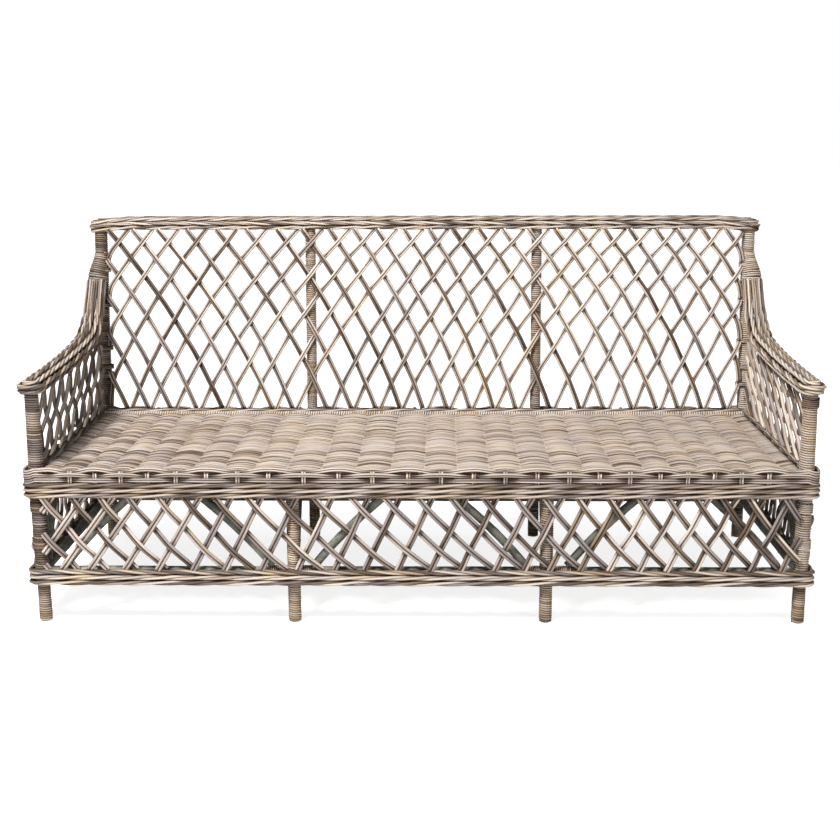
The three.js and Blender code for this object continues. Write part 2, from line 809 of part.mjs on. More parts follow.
// The stakes run from front to back under the weave and are joined by the strand over the front rail
function seatStakes() {
  const start = frontLine + stakeWidth / 2
  const end = backRailFront
  const most = Math.floor((postHalf - cornerOuter - stakeWidth) / stakePitch)
  const level = stakeUnder + stakeThickness / 2
  const stakes = [new THREE.BoxGeometry(2 * most * stakePitch + stakeWidth, stakeWidth, stakeThickness)
    .translate(0, frontLine, level)]
  for (let k = -most; k <= most; k += 1) {
    stakes.push(new THREE.BoxGeometry(stakeWidth, end - start + stakeWidth / 2, stakeThickness)
      .translate(k * stakePitch, (start + end) / 2 - stakeWidth / 4, level))
  }
  return joined(stakes)
}

// The seat is a little lower along its ends and its back, where the lattices stand on it
function addSeat() {
  const edge = borderInner - gap
  const notch = cornerOuter + gap
  const wide = postHalf + edge
  const narrow = postHalf - notch
  const deep = postDepth / 2 + edge
  const shallow = postDepth / 2 - notch
  const corner = [[wide, shallow], [narrow, shallow], [narrow, deep]]
  const backHalf = [...corner, ...corner.slice().reverse().map(([x, y]) => [-x, y])]
  const outline = [...backHalf, ...backHalf.map(([x, y]) => [-x, -y])]
  const shape = new THREE.Shape(outline.map(([x, y]) => new THREE.Vector2(x, y)))
  const middle = (frontLine + backLine) / 2
  const slab = new THREE.ExtrudeGeometry(shape, { depth: seatEdge - seatUnder, bevelEnabled: false })
    .translate(0, middle, seatUnder)
  const fieldHalf = postHalf - bindingOuter - gap
  const fieldFront = middle - deep
  const field = new THREE.BoxGeometry(2 * fieldHalf, backRailFront - fieldFront, weaveThickness)
    .translate(0, (fieldFront + backRailFront) / 2, seatTop - weaveThickness / 2)
  addPiece('seat_weave', cut(joined([slab, field]), seatCutters()), weave)
  addPiece('seat_stakes', seatStakes(), cane)
}

// The braid over the top rail, with rounded ends and a groove below for the rail and the posts
function crestBraid() {
  const half = crestDepth / 2
  const rise = crestHeight / 2
  const groove = Math.max(cornerPostRadius, middleOuter) + 2 * gap + rise * leanSlope
  const outerShares = [[0.82, -1], [1, -0.6], [1, 0.25], [0.8, 0.8], [0.36, 1]]
  const back = outerShares.map(([y, z]) => [half * y, rise * z])
  const front = back.slice().reverse().map(([y, z]) => [-y, z])
  const roof = railRadius + gap
  const grooveBack = [[groove, -rise], [groove, -rise / 4], [roof, rise / 4], [roof * 2 / 3, roof]]
  const grooveFront = grooveBack.map(([y, z]) => [-y, z])
  const outline = [...back, ...front, ...grooveFront, ...grooveBack.reverse()]
  const section = outline.map(([y, z]) => new THREE.Vector2(y, z))
  const end = postHalf + crestOverhang
  const endShares = [[0, 0.72], [1 / 3, 0.95], [1, 1]]
  const left = endShares.map(([share, swell]) => [-end + crestOverhang * share, swell])
  const stations = [...left, ...left.slice().reverse().map(([x, swell]) => [-x, swell])]
  const rings = stations.map(([x, swell]) => section.map((point) => {
    return new THREE.Vector3(x, backLine + backLean + point.x * swell, crestMiddle + point.y * swell)
  }))
  return loft(rings, section)
}

addPosts()
addWraps()
addRails()
addBearers()
addBraces()
addBackLattice()
addSkirtLattices()
addArms()
addArmLattices()
addBorders()
addSeat()
addPiece('crest_braid', crestBraid(), weave)

export default sofa
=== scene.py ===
import math
from functools import cache

import bpy
from bpy.props import FloatProperty, FloatVectorProperty, IntProperty, PointerProperty
from mathutils import Matrix, Vector


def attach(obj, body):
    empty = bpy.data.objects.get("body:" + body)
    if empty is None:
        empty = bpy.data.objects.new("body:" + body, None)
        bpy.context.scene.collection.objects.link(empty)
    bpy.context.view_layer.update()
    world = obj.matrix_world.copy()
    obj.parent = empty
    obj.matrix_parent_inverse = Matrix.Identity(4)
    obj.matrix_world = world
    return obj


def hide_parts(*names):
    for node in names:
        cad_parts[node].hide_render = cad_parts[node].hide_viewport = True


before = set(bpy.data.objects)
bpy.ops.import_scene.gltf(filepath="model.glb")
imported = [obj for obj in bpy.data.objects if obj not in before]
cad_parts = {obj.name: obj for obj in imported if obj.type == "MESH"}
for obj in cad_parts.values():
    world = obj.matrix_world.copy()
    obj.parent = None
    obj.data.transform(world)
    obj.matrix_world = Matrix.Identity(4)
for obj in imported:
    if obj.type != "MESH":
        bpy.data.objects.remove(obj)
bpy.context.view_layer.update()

bl_info = {
    "name": "Rattan garden sofa",
    "version": (1, 0, 0),
    "blender": (4, 5, 0),
    "location": "3D View > Sidebar > Rattan Sofa",
    "description": "A rattan sofa: wound posts, paired cane lattices, woven borders, seat and rolled arms",
    "category": "Add Mesh",
}

# Where the frame's poles stand, in metres
POST_X = 0.918
LEG_X = 0.3055
BACK_POST_X = 0.321
FRONT_Y = -0.361
BACK_Y = 0.327
MIDDLE_Y = (FRONT_Y + BACK_Y) / 2
POST_TOP = 0.897
BOTTOM_RAIL_Z = 0.128
SOFA_CORNERS = ((-POST_X, FRONT_Y), (POST_X, FRONT_Y), (POST_X, BACK_Y), (-POST_X, BACK_Y))

# How far the skirt's canes stand outside the middles of the posts, and the back's canes in front of them
SKIRT_OUT = 0.022

# The back leans from the height of the seat up
SEAT_Z = 0.388
LEAN = 0.0897

SIDES = {"left": -1, "right": 1}
ALL_ROUND = ("front", "back", "left", "right")
REARWARD = (0.0, 1.0, 0.0)
UPWARD = (0.0, 0.0, 1.0)
WHITE = (1.0, 1.0, 1.0)
BLACK = (0.0, 0.0, 0.0)


def lean(z):
    """How far the back has moved rearwards at a height."""
    return max(0.0, z - SEAT_Z) * LEAN


def spaced(first, last, steps):
    """Numbers at even distances, both ends among them."""
    return [first + (last - first) * i / steps for i in range(steps + 1)]


def level_line(low, high, y, z, steps):
    """Points along the sofa, from one x to another."""
    return [Vector((x, y, z)) for x in spaced(low, high, steps)]


# Sizes and colours


def length_field(name, default, description):
    return FloatProperty(name=name, description=description, default=default, subtype="DISTANCE")


def colour_field(name, default, description):
    return FloatVectorProperty(name=name, description=description, default=default, size=3, subtype="COLOR")


class SofaWindingSizes(bpy.types.PropertyGroup):
    """Peel wound round the posts"""

    peel_width: length_field("Peel width", 0.0058, "Width of one turn of peel")
    peel_thickness: length_field("Peel thickness", 0.0032, "Thickness of the peel")
    corner_girth: length_field("Corner post", 0.0185, "Radius over the winding of a corner post")
    middle_girth: length_field("Middle post", 0.015, "Radius over the winding of a middle post")
    foot_girth: length_field("Foot", 0.0158, "Radius over the winding of a foot")
    turn_points: IntProperty(name="Points in a turn", description="Points of each turn of peel", default=12)


class SofaPoleSizes(bpy.types.PropertyGroup):
    """Bare rattan poles"""

    rail_radius: length_field("Rail radius", 0.0128, "Radius of a rail")
    brace_radius: length_field("Brace radius", 0.0104, "Radius of a knee brace")
    knuckle_spacing: length_field("Knuckle spacing", 0.19, "Length between two knuckles of a pole")
    knuckle_height: length_field("Knuckle height", 0.0009, "How far a knuckle stands out")


class SofaLatticeSizes(bpy.types.PropertyGroup):
    """Paired canes of the lattices"""

    back_cane: length_field("Back cane", 0.0034, "Radius of one cane of the back")
    skirt_cane: length_field("Skirt cane", 0.0037, "Radius of one cane of the skirt")
    arm_cane: length_field("Arm cane", 0.0034, "Radius of one cane under an arm")
    skirt_pitch: length_field("Skirt pitch", 0.076, "Distance between pairs in the skirt")
    arm_pitch: length_field("Arm pitch", 0.078, "Distance between pairs under an arm")


class SofaBorderSizes(bpy.types.PropertyGroup):
    """Waling round the seat, the foot, the crest and the arms"""

    strand: length_field("Strand", 0.0034, "Radius of one strand of a wale")
    out_swing: length_field("Out swing", 0.0034, "How far a strand swings out of its row")
    up_swing: length_field("Up swing", 0.0031, "How far a strand swings along the height of its row")
    pitch: length_field("Pitch", 0.228, "Length of one turn of a wale")


class SofaSeatSizes(bpy.types.PropertyGroup):
    """Rib weave of the seat"""

    row_spacing: length_field("Row spacing", 0.003, "Distance between two strands")
    strand_width: length_field("Strand width", 0.0028, "Half the width of a strand")
    strand_thickness: length_field("Strand thickness", 0.0013, "Half the thickness of a strand")
    rise: length_field("Rise", 0.0058, "How far a strand rises over a stake")


class SofaColours(bpy.types.PropertyGroup):
    """Colours of the rattan"""

    weave_dark: colour_field("Weave dark", (0.13, 0.09, 0.065), "Darkest strands of the weave")
    weave_mid: colour_field("Weave middle", (0.47, 0.36, 0.27), "Most strands of the weave")
    weave_light: colour_field("Weave light", (0.78, 0.67, 0.56), "Lightest strands of the weave")
    grey: colour_field("Weathered grey", (0.52, 0.465, 0.475), "Grey of weathered strands")
    warm: colour_field("Warm brown", (0.15, 0.065, 0.04), "Reddish brown of single windings")
    pole: colour_field("Pole", (0.15, 0.15, 0.125), "Bare poles under the seat")


# Nodes

# Distances between the points along a bare pole, a pole inside its winding and a twisted strand
POLE_STEP = 0.006
CORE_STEP = 0.01
STRAND_STEP = 0.008

# Half the length over which a knuckle stands out
KNUCKLE_HALF = 0.009


class Value:
    """What a node gives out. Reckoning with it adds the node that does the sum."""

    def __init__(self, owner, socket):
        self.owner, self.socket = owner, socket

    def __add__(self, other):
        return self.owner.number("ADD", self, other)

    def __sub__(self, other):
        return self.owner.number("SUBTRACT", self, other)

    def __rsub__(self, other):
        return self.owner.number("SUBTRACT", other, self)

    def __mul__(self, other):
        return self.owner.number("MULTIPLY", self, other)

    def __truediv__(self, other):
        return self.owner.number("DIVIDE", self, other)

    def __mod__(self, other):
        return self.owner.number("MODULO", self, other)

    def __pow__(self, other):
        return self.owner.number("POWER", self, other)

    def sine(self):
        return self.owner.number("SINE", self)

    def cosine(self):
        return self.owner.number("COSINE", self)

    def positive(self):
        return self.owner.number("MAXIMUM", self, 0.0)


class Nodes:
    """The nodes of a tree, added by their kind."""

    def __init__(self, tree):
        self.nodes, self.links = tree.nodes, tree.links

    def add(self, kind, given=(), out=0, **options):
        """Adds a node, sets its options, fills its inputs and returns one of its outputs.

        given holds the inputs in order, or by name or number. A colour is given as three numbers."""
        node = self.nodes.new(kind)
        for option, value in options.items():
            setattr(node, option, value)
        for key, value in given.items() if isinstance(given, dict) else enumerate(given):
            socket = node.inputs[key]
            if isinstance(value, Value):
                self.links.new(value.socket, socket)
            else:
                socket.default_value = (*value, 1.0) if socket.type == "RGBA" else value
        return Value(self, node.outputs[out]) if node.outputs else None

    def number(self, operation, *values):
        return self.add("ShaderNodeMath", values, operation=operation)

    def joined(self, x, y, z):
        return self.add("ShaderNodeCombineXYZ", [x, y, z])

    def noise(self, vector, scale=1.0, detail=0.0, out=0):
        return self.add("ShaderNodeTexNoise", {"Vector": vector, "Scale": scale, "Detail": detail}, out)


class Tree(Nodes):
    """A geometry node tree with named sizes."""

    def __init__(self, name, *sizes, counts=(), materials=("Material",)):
        self.group = bpy.data.node_groups.new(name, "GeometryNodeTree")
        super().__init__(self.group)
        inputs = [("Geometry", "Geometry")]
        inputs += [(label, "Float") for label in sizes]
        inputs += [(label, "Int") for label in (*counts, "Sides", "Seed")]
        inputs += [(label, "Material") for label in materials]
        for label, kind in inputs:
            self.group.interface.new_socket(label, in_out="INPUT", socket_type="NodeSocket" + kind)
        self.group.interface.new_socket("Geometry", in_out="OUTPUT", socket_type="NodeSocketGeometry")
        self.start = self.nodes.new("NodeGroupInput")

    def size(self, label):
        return Value(self, self.start.outputs[label])

    def vector(self, operation, *values):
        return self.add("ShaderNodeVectorMath", values, operation=operation)

    def scaled(self, vector, amount):
        return self.add("ShaderNodeVectorMath", {"Vector": vector, "Scale": amount}, operation="SCALE")

    def read(self, name, kind="FLOAT"):
        return self.add("GeometryNodeInputNamedAttribute", {"Name": name}, data_type=kind)

    def store(self, geometry, name, value, kind="FLOAT"):
        given = {"Geometry": geometry, "Name": name, "Value": value}
        return self.add("GeometryNodeStoreNamedAttribute", given, data_type=kind, domain="POINT")

    def radial(self):
        """The direction, stored before, that a strand's flat side faces."""
        return self.read("radial", "FLOAT_VECTOR")

    def lines(self):
        return self.add("GeometryNodeMeshToCurve", [self.size("Geometry")])

    def resampled(self, lines, length):
        return self.add("GeometryNodeResampleCurve", {"Curve": lines, "Length": length}, mode="LENGTH")

    def moved(self, lines, offset):
        return self.add("GeometryNodeSetPosition", {"Geometry": lines, "Offset": offset})

    def copies(self, lines, amount):
        """Copies each line, and returns the copies and the number of each copy."""
        given = {"Geometry": lines, "Amount": amount}
        made = self.add("GeometryNodeDuplicateElements", given, domain="SPLINE")
        return made, Value(self, made.socket.node.outputs["Duplicate Index"])

    def travelled(self):
        return self.add("GeometryNodeSplineParameter", out="Length")

    def across(self):
        """The level direction across a line, and the upright direction over it."""
        tangent = self.add("GeometryNodeInputTangent")
        crossed = self.vector("CROSS_PRODUCT", tangent, self.read("facing", "FLOAT_VECTOR"))
        out = self.vector("NORMALIZE", crossed)
        return out, self.vector("CROSS_PRODUCT", out, tangent)

    def random(self, key):
        """A number from 0 to 1 for each key. The node has a set of sockets for each kind of value."""
        given = {2: 0.0, 3: 1.0, 7: key, 8: self.size("Seed")}
        return self.add("FunctionNodeRandomValue", given, out=1, data_type="FLOAT")

    def strand_number(self, lines):
        """Gives each line a random number of its own."""
        return self.store(lines, "strand", self.random(self.add("GeometryNodeCurveOfPoint")))

    def swayed(self, lines, amount, frequency):
        """Moves the points of each line a little, each line in its own way."""
        apart = self.read("strand") * 91.0
        place = self.scaled(self.add("GeometryNodeInputPosition"), frequency)
        noise = self.noise(self.vector("ADD", place, self.joined(apart, apart, apart)), detail=1.0, out=1)
        centred = self.vector("SUBTRACT", noise, (0.5, 0.5, 0.5))
        return self.moved(lines, self.scaled(centred, amount))

    def swept(self, lines, radius, thin=None, normal=None, sides=None):
        """Sweeps a round or a flattened ring along the lines."""
        given = {"Resolution": sides or self.size("Sides"), "Radius": 1.0}
        ring = self.add("GeometryNodeCurvePrimitiveCircle", given)
        ring = self.store(ring, "around", self.add("GeometryNodeSplineParameter"))
        if thin is not None:
            ring = self.add("GeometryNodeTransform", {"Geometry": ring, "Scale": self.joined(thin, 1.0, 1.0)})
        if normal is not None:
            lines = self.add("GeometryNodeSetCurveNormal", {"Curve": lines, "Normal": normal}, mode="FREE")
        lines = self.store(lines, "along", self.travelled())
        given = {"Curve": lines, "Profile Curve": ring, "Scale": radius, "Fill Caps": True}
        return self.add("GeometryNodeCurveToMesh", given)

    # Stores the painted shade at each point, at most 1
    def with_painted_shade(self, mesh, depth):
        return self.store(mesh, "dip", self.number("MINIMUM", depth, 1.0))

    def with_painted_side_shade(self, mesh, side_shade_weight):
        """Paints shade on a strand's sides, where it lies against the next strands, over the painted shade
        stored before. The second argument is the weight of the painted shade on the sides.
        """
        side = self.number("ABSOLUTE", (self.read("around") * math.tau).sine()) ** 2.4
        return self.with_painted_shade(mesh, side * side_shade_weight + self.read("dip"))

    def dressed(self, geometry, label):
        return self.add("GeometryNodeSetMaterial", {"Geometry": geometry, "Material": self.size(label)})

    def close(self, geometry):
        """Ends the tree with real geometry and its material."""
        smooth = self.add("GeometryNodeSetShadeSmooth", [geometry])
        real = self.add("GeometryNodeRealizeInstances", [smooth])
        self.add("NodeGroupOutput", [self.dressed(real, "Material")])


@cache
def paired_canes_tree():
    """Canes laid side by side along each line."""
    tree = Tree("Paired canes", "Cane radius", "Spacing", "Sway", "Edge shade", counts=("Canes",))
    lines = tree.swayed(tree.strand_number(tree.lines()), tree.size("Sway"), frequency=9.0)
    lines, number = tree.copies(lines, tree.size("Canes"))
    lines = tree.strand_number(lines)
    out, _ = tree.across()
    place = number - (tree.size("Canes") - 1.0) / 2.0
    lines = tree.store(lines, "partner", place * -2.0)
    lines = tree.store(lines, "radial", out, "FLOAT_VECTOR")
    lines = tree.moved(lines, tree.scaled(out, place * tree.size("Spacing") * tree.read("girth")))
    lines = tree.swayed(lines, tree.size("Sway") * 0.2, frequency=13.0)
    mesh = tree.swept(lines, tree.size("Cane radius") * tree.read("girth"), 1.0, tree.radial())
    # Painted shade on each cane's side towards its partner and along the pair's outer edges
    towards = (tree.read("around") * math.tau).cosine() * tree.read("partner")
    inner = towards.positive() ** 1.6 * 1.5
    outer = (towards * -1.0).positive() ** 2.0 * tree.size("Edge shade")
    tree.close(tree.with_painted_shade(mesh, inner + outer + tree.read("dip")))
    return tree


@cache
def twisted_strands_tree():
    """Strands twisted round each other along each line, as in a wale."""
    sizes = ("Strand radius", "Out swing", "Up swing", "Pitch", "Step", "Sway")
    tree = Tree("Twisted strands", *sizes, counts=("Strands",))
    lines, number = tree.copies(tree.resampled(tree.lines(), tree.size("Step")), tree.size("Strands"))
    lines = tree.strand_number(lines)
    out, up = tree.across()
    run = (tree.travelled() - tree.read("slack")) / tree.size("Pitch")
    angle = (run + tree.read("start") + number / tree.size("Strands")) * math.tau
    aside = tree.scaled(out, angle.sine() * tree.size("Out swing"))
    upward = tree.scaled(up, angle.cosine() * tree.size("Up swing"))
    dive = (1.0 - angle.sine()) * 0.5
    # Painted shade where a strand dives behind the others
    lines = tree.store(lines, "dip", dive ** 1.5 * 0.9 + tree.read("dip"))
    lines = tree.store(lines, "radial", out, "FLOAT_VECTOR")
    lines = tree.moved(lines, tree.vector("ADD", aside, upward))
    lines = tree.swayed(lines, tree.size("Sway"), frequency=14.0)
    mesh = tree.swept(lines, tree.size("Strand radius"), 1.0, tree.radial())
    tree.close(tree.with_painted_side_shade(mesh, 1.0))
    return tree


@cache
def peel_winding_tree():
    """Peel wound in close turns round a pole."""
    sizes = ("Peel width", "Peel thickness", "Unevenness")
    tree = Tree("Peel winding", *sizes, counts=("Points in a turn",), materials=("Material", "Core"))
    axis, width, thickness = tree.lines(), tree.size("Peel width"), tree.size("Peel thickness")
    lines = tree.resampled(axis, width / tree.size("Points in a turn"))
    turns = tree.travelled() / width
    lines = tree.store(lines, "strand", tree.random(tree.number("FLOOR", turns)))
    out, up = tree.across()
    angle = turns * math.tau
    radial = tree.vector("ADD", tree.scaled(out, angle.cosine()), tree.scaled(up, angle.sine()))
    lines = tree.store(lines, "radial", radial, "FLOAT_VECTOR")
    uneven = (tree.read("strand") - 0.5) * tree.size("Unevenness")
    reach = tree.read("girth") - thickness * 0.5 + uneven
    lines = tree.moved(lines, tree.scaled(tree.radial(), reach))
    half = width * 0.47
    peel = tree.swept(lines, half, thickness * 0.62 / half, tree.radial())
    # The core shows nearly black between the turns: painted shade in the grooves
    core = tree.swept(tree.resampled(axis, CORE_STEP), tree.read("girth") - thickness * 0.8, sides=12)
    both = tree.add("GeometryNodeJoinGeometry", [tree.dressed(core, "Core")])
    tree.links.new(tree.dressed(tree.with_painted_side_shade(peel, 1.0), "Material").socket, both.socket.node.inputs[0])
    smooth = tree.add("GeometryNodeSetShadeSmooth", [both])
    tree.add("NodeGroupOutput", [tree.add("GeometryNodeRealizeInstances", [smooth])])
    return tree


@cache
def knuckled_pole_tree():
    """A bare rattan pole with a ring at each knuckle."""
    tree = Tree("Knuckled pole", "Knuckle spacing", "Knuckle height", "Sway")
    lines = tree.strand_number(tree.resampled(tree.lines(), POLE_STEP))
    lines = tree.swayed(lines, tree.size("Sway"), frequency=5.0)
    spacing = tree.size("Knuckle spacing")
    run = tree.travelled() + tree.read("strand") * spacing
    near = tree.number("ABSOLUTE", run % spacing - spacing / 2.0)
    share = (1.0 - near / KNUCKLE_HALF).positive()
    ring = share * share * tree.size("Knuckle height")
    tree.close(tree.swept(lines, tree.read("girth") + ring))
    return tree


@cache
def rib_weave_tree():
    """Strands side by side that pass over and under the stakes in turn."""
    sizes = ("Row spacing", "Rise", "Width", "Thickness", "Step", "Sway")
    tree = Tree("Rib weave", *sizes, counts=("Rows",))
    lines, number = tree.copies(tree.resampled(tree.lines(), tree.size("Step")), tree.size("Rows"))
    lines = tree.strand_number(lines)
    x = tree.add("ShaderNodeSeparateXYZ", [tree.add("GeometryNodeInputPosition")])
    row = number + tree.size("Seed") * 17.0
    bundle = tree.noise(tree.joined(x * 3.0, row * 0.26, 0.0), detail=2.0) - 0.5
    # Painted shade and light: the seat darkens towards its left end, most of all left of x = -0.35, and
    # lightens towards its right
    painted_shade_left = (-0.35 - x).positive() * 0.55 - x * 0.07
    lines = tree.store(lines, "tint", tree.read("tint") + bundle * 2.7 - painted_shade_left)
    height = ((tree.read("start") + number) * math.pi).cosine() * tree.size("Rise")
    # Painted shade where a strand passes under a stake, and dark painted gaps between strands at random
    # places
    low = 0.5 - height / tree.size("Rise") * 0.5
    painted_gap_shade = (tree.noise(tree.joined(x * 9.0, row * 0.71, 4.0)) - 0.60).positive() * 5.0
    lines = tree.store(lines, "dip", low ** 1.6 * 0.55 + painted_gap_shade)
    lines = tree.moved(lines, tree.joined(0.0, number * tree.size("Row spacing"), height))
    lines = tree.swayed(lines, tree.size("Sway"), frequency=11.0)
    mesh = tree.swept(lines, tree.size("Width"), tree.size("Thickness") / tree.size("Width"), UPWARD)
    tree.close(tree.with_painted_side_shade(mesh, 1.05))
    return tree


# Guide lines


class Guides:
    """Lines that strands follow, as loose edges with values at their points."""

    # The last value is the painted shade at a point
    PLAIN = {"girth": 1.0, "tint": 0.5, "warm": 0.0, "slack": 0.0, "start": 0.0, "dip": 0.0}

    def __init__(self):
        self.points, self.edges, self.facing = [], [], []
        self.values = {name: [] for name in self.PLAIN}

    def add(self, points, facing=UPWARD, closed=False, **values):
        """Adds a line. facing and each value may be one for the line or one for each point."""
        first, count = len(self.points), len(points)
        self.points += [tuple(p) for p in points]
        self.edges += [(first + i, first + i + 1) for i in range(count - 1)]
        if closed:
            self.edges.append((first + count - 1, first))
        single = isinstance(facing[0], (int, float))
        self.facing += [tuple(facing)] * count if single else [tuple(f) for f in facing]
        for name, value in (self.PLAIN | values).items():
            self.values[name] += [value] * count if isinstance(value, (int, float)) else list(value)

    def mesh(self, name):
        mesh = bpy.data.meshes.new(name)
        mesh.from_pydata(self.points, self.edges, [])
        flat = [number for vector in self.facing for number in vector]
        mesh.attributes.new("facing", "FLOAT_VECTOR", "POINT").data.foreach_set("vector", flat)
        for label, numbers in self.values.items():
            mesh.attributes.new(label, "FLOAT", "POINT").data.foreach_set("value", numbers)
        return mesh


# The attributes that the materials and the export need
KEPT = ("position", "tint", "warm", "strand", "along", "around", "dip", "material_index", "sharp_face")


def grown(name, guides, tree, sizes):
    """Runs a tree on guide lines and returns the result as a plain mesh object."""
    holder = bpy.data.objects.new(name + "_guides", guides.mesh(name + "_guides"))
    bpy.context.scene.collection.objects.link(holder)
    modifier = holder.modifiers.new("Grow", "NODES")
    modifier.node_group = tree.group
    sockets = {item.name: item for item in tree.group.interface.items_tree if item.in_out == "INPUT"}
    for label, value in sizes.items():
        modifier[sockets[label].identifier] = value
    graph = bpy.context.evaluated_depsgraph_get()
    mesh = bpy.data.meshes.new_from_object(holder.evaluated_get(graph), depsgraph=graph)
    bpy.data.objects.remove(holder)
    mesh.name = name
    if not mesh.polygons:
        raise RuntimeError(name + " has no faces")
    for attribute in [a.name for a in mesh.attributes if a.name not in KEPT and not a.name.startswith(".")]:
        mesh.attributes.remove(mesh.attributes[attribute])
    piece = bpy.data.objects.new(name, mesh)
    bpy.context.scene.collection.objects.link(piece)
    return piece


def settle(name, parts, slot, *nodes):
    """Joins parts into one piece, says what it rides on, and hides the solids that it stands for."""
    piece = parts[0]
    if len(parts) > 1:
        chosen = {"selected_objects": parts, "selected_editable_objects": parts}
        with bpy.context.temp_override(active_object=piece, object=piece, **chosen):
            bpy.ops.object.join()
    piece.name = name
    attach(piece, "root")
    if nodes:
        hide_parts(*nodes)


# Finishes


class Finish(Nodes):
    """A material that is put together by name."""

    def __init__(self, name):
        self.material = bpy.data.materials.new(name)
        self.material.use_nodes = True
        super().__init__(self.material.node_tree)
        self.nodes.clear()

    def value(self, name):
        return self.add("ShaderNodeAttribute", out="Fac", attribute_name=name)

    def place(self):
        return self.add("ShaderNodeTexCoord", out="Object")

    def ramp(self, factor, *stops):
        made = self.add("ShaderNodeValToRGB", [factor])
        ramp = made.socket.node.color_ramp
        while len(ramp.elements) < len(stops):
            ramp.elements.new(1.0)
        for element, (place, colour) in zip(ramp.elements, stops):
            element.position = place
            element.color = (*colour, 1.0)
        return made

    def mixed(self, factor, first, second, blend="MIX"):
        """Mixes two colours. The node has a set of sockets for each kind of value."""
        given = {0: factor, 6: first, 7: second}
        return self.add("ShaderNodeMix", given, out=2, data_type="RGBA", blend_type=blend)

    def skin(self, colour, roughness, relief, height):
        """Ends the material with a half-matt skin."""
        bump = self.add("ShaderNodeBump", {"Strength": 0.3, "Distance": height, "Height": relief})
        given = {"Base Color": colour, "Roughness": roughness, "Normal": bump, "Specular IOR Level": 0.4}
        return self.shown(self.add("ShaderNodeBsdfPrincipled", given))

    def shown(self, shader):
        self.add("ShaderNodeOutputMaterial", [shader])
        return self.material


GOLDEN = (0.96, 0.87, 0.68)
# Colour multiplied in where strands lie deep among others: painted shade
PAINTED_GROOVE_SHADE = (0.16, 0.12, 0.095)


def rattan_finish(name, *stops, patches=0.3, spread=0.95, mottled=0.0, greyer=0.0):
    """Weathered rattan: each strand has its own tone, with grain and grey patches, and painted shade darkens
    the grooves between strands.

    patches and spread are the weights of the patches and of the strands' own shades, mottled is how far the
    hue changes from place to place and not from strand to strand, and greyer adds grey all over."""
    look = Finish(name)
    colours = bpy.context.scene.sofa_colours
    strand, along, around = look.value("strand"), look.value("along"), look.value("around")
    apart = strand * 371.0
    lengths = look.noise(look.joined(along * 3.2, apart, 0.0), detail=1.0)
    streak = look.noise(look.joined(along * 14.0, around * 7.0, apart), detail=2.0)
    patch = look.noise(look.place(), scale=9.0, detail=2.0)
    shade = look.value("tint")
    for part, weight in ((strand, spread), (lengths, 1.0), (streak, 0.5), (patch, patches)):
        shade = shade + (part - 0.5) * weight
    colour = look.ramp(shade, *stops)

    by_strand = look.number("FRACT", strand * 7.31) * (1.0 - mottled)
    by_place = (look.noise(look.place(), scale=14.0, detail=1.0) * 2.6 - 0.8) * mottled
    hue = by_strand + by_place + greyer + (lengths - 0.5) * 1.6
    greyed = look.ramp(hue, (0.45, BLACK), (0.8, WHITE))
    golden = look.ramp(hue, (0.05, WHITE), (0.3, BLACK))
    colour = look.mixed(greyed * 0.75, colour, look.mixed(0.55, colour, tuple(colours.grey)))
    colour = look.mixed(golden * 0.7, colour, look.mixed(1.0, colour, GOLDEN, "MULTIPLY"))
    colour = look.mixed(look.value("warm") * 0.85, colour, tuple(colours.warm))
    # Painted shade: darker by how deep each point lies between strands
    colour = look.mixed(look.value("dip") * 0.92, colour, look.mixed(1.0, colour, PAINTED_GROOVE_SHADE, "MULTIPLY"))
    return look.skin(colour, streak * 0.25 + 0.48, streak, 0.0005)


def pole_finish(name, colour):
    """Bare pole: dark green-brown skin with worn patches and fine pits."""
    look = Finish(name)
    patch = look.noise(look.place(), scale=9.0, detail=3.0)
    pits = look.noise(look.place(), scale=260.0, detail=2.0)
    light = tuple(min(1.0, c * 2.3 + 0.03) for c in colour)
    dark = tuple(c * 0.45 for c in colour)
    tone = look.ramp(patch + (pits - 0.5) * 0.35, (0.3, dark), (0.5, colour), (0.72, light))
    return look.skin(tone, patch * 0.3 + 0.42, pits, 0.0008)


@cache
def finish(name):
    """The material of that name, made when it is first asked for."""
    colours = bpy.context.scene.sofa_colours
    dark, mid, light = tuple(colours.weave_dark), tuple(colours.weave_mid), tuple(colours.weave_light)
    pale = tuple(0.5 * (a + b) for a, b in zip(mid, light))
    if name == "rattan_weave":
        stops = ((0.1, dark), (0.42, mid), (0.68, pale), (0.95, light))
        return rattan_finish(name, *stops, spread=1.2, mottled=0.55)
    if name == "rattan_cane":
        stops = ((0.15, dark), (0.5, tuple(0.75 * m for m in mid)), (0.8, pale), (1.0, light))
        return rattan_finish(name, *stops, greyer=0.15)
    if name == "rattan_peel":
        stops = ((0.1, dark), (0.45, mid), (0.8, pale), (1.0, light))
        return rattan_finish(name, *stops, patches=1.2, spread=0.3, mottled=0.8, greyer=-0.16)
    # Nearly black core under the peel: painted shade
    if name == "painted_shade_core":
        return pole_finish(name, tuple(0.25 * d for d in dark))
    return pole_finish(name, tuple(colours.pole))


# Posts

FLOOR_GAP = 0.0024
CORNER_FOOT_TOP = 0.102
CORNER_BODY_LOW = 0.116
MIDDLE_FOOT_TOP = 0.112
MIDDLE_BODY_LOW = 0.118
MIDDLE_LEG_TOP = 0.352
FRONT_POST_TOP = 0.574
FOOT_TINT = 0.40
FOOT_TINT_TOP = 0.11
BAND_PEEL = 0.0048
FRONT_BAND_GIRTH = 0.0212
BACK_BAND_GIRTH = 0.021
TIE_GIRTH = 0.0215
LOW_BAND_Z = 0.188
HIGH_BAND_Z = 0.278

# The band under the right arm: its height, length, girth, share of the warm brown, and place aside
REDDISH_BAND = (0.536, 0.022, 0.0208, 1.0, 0.0)

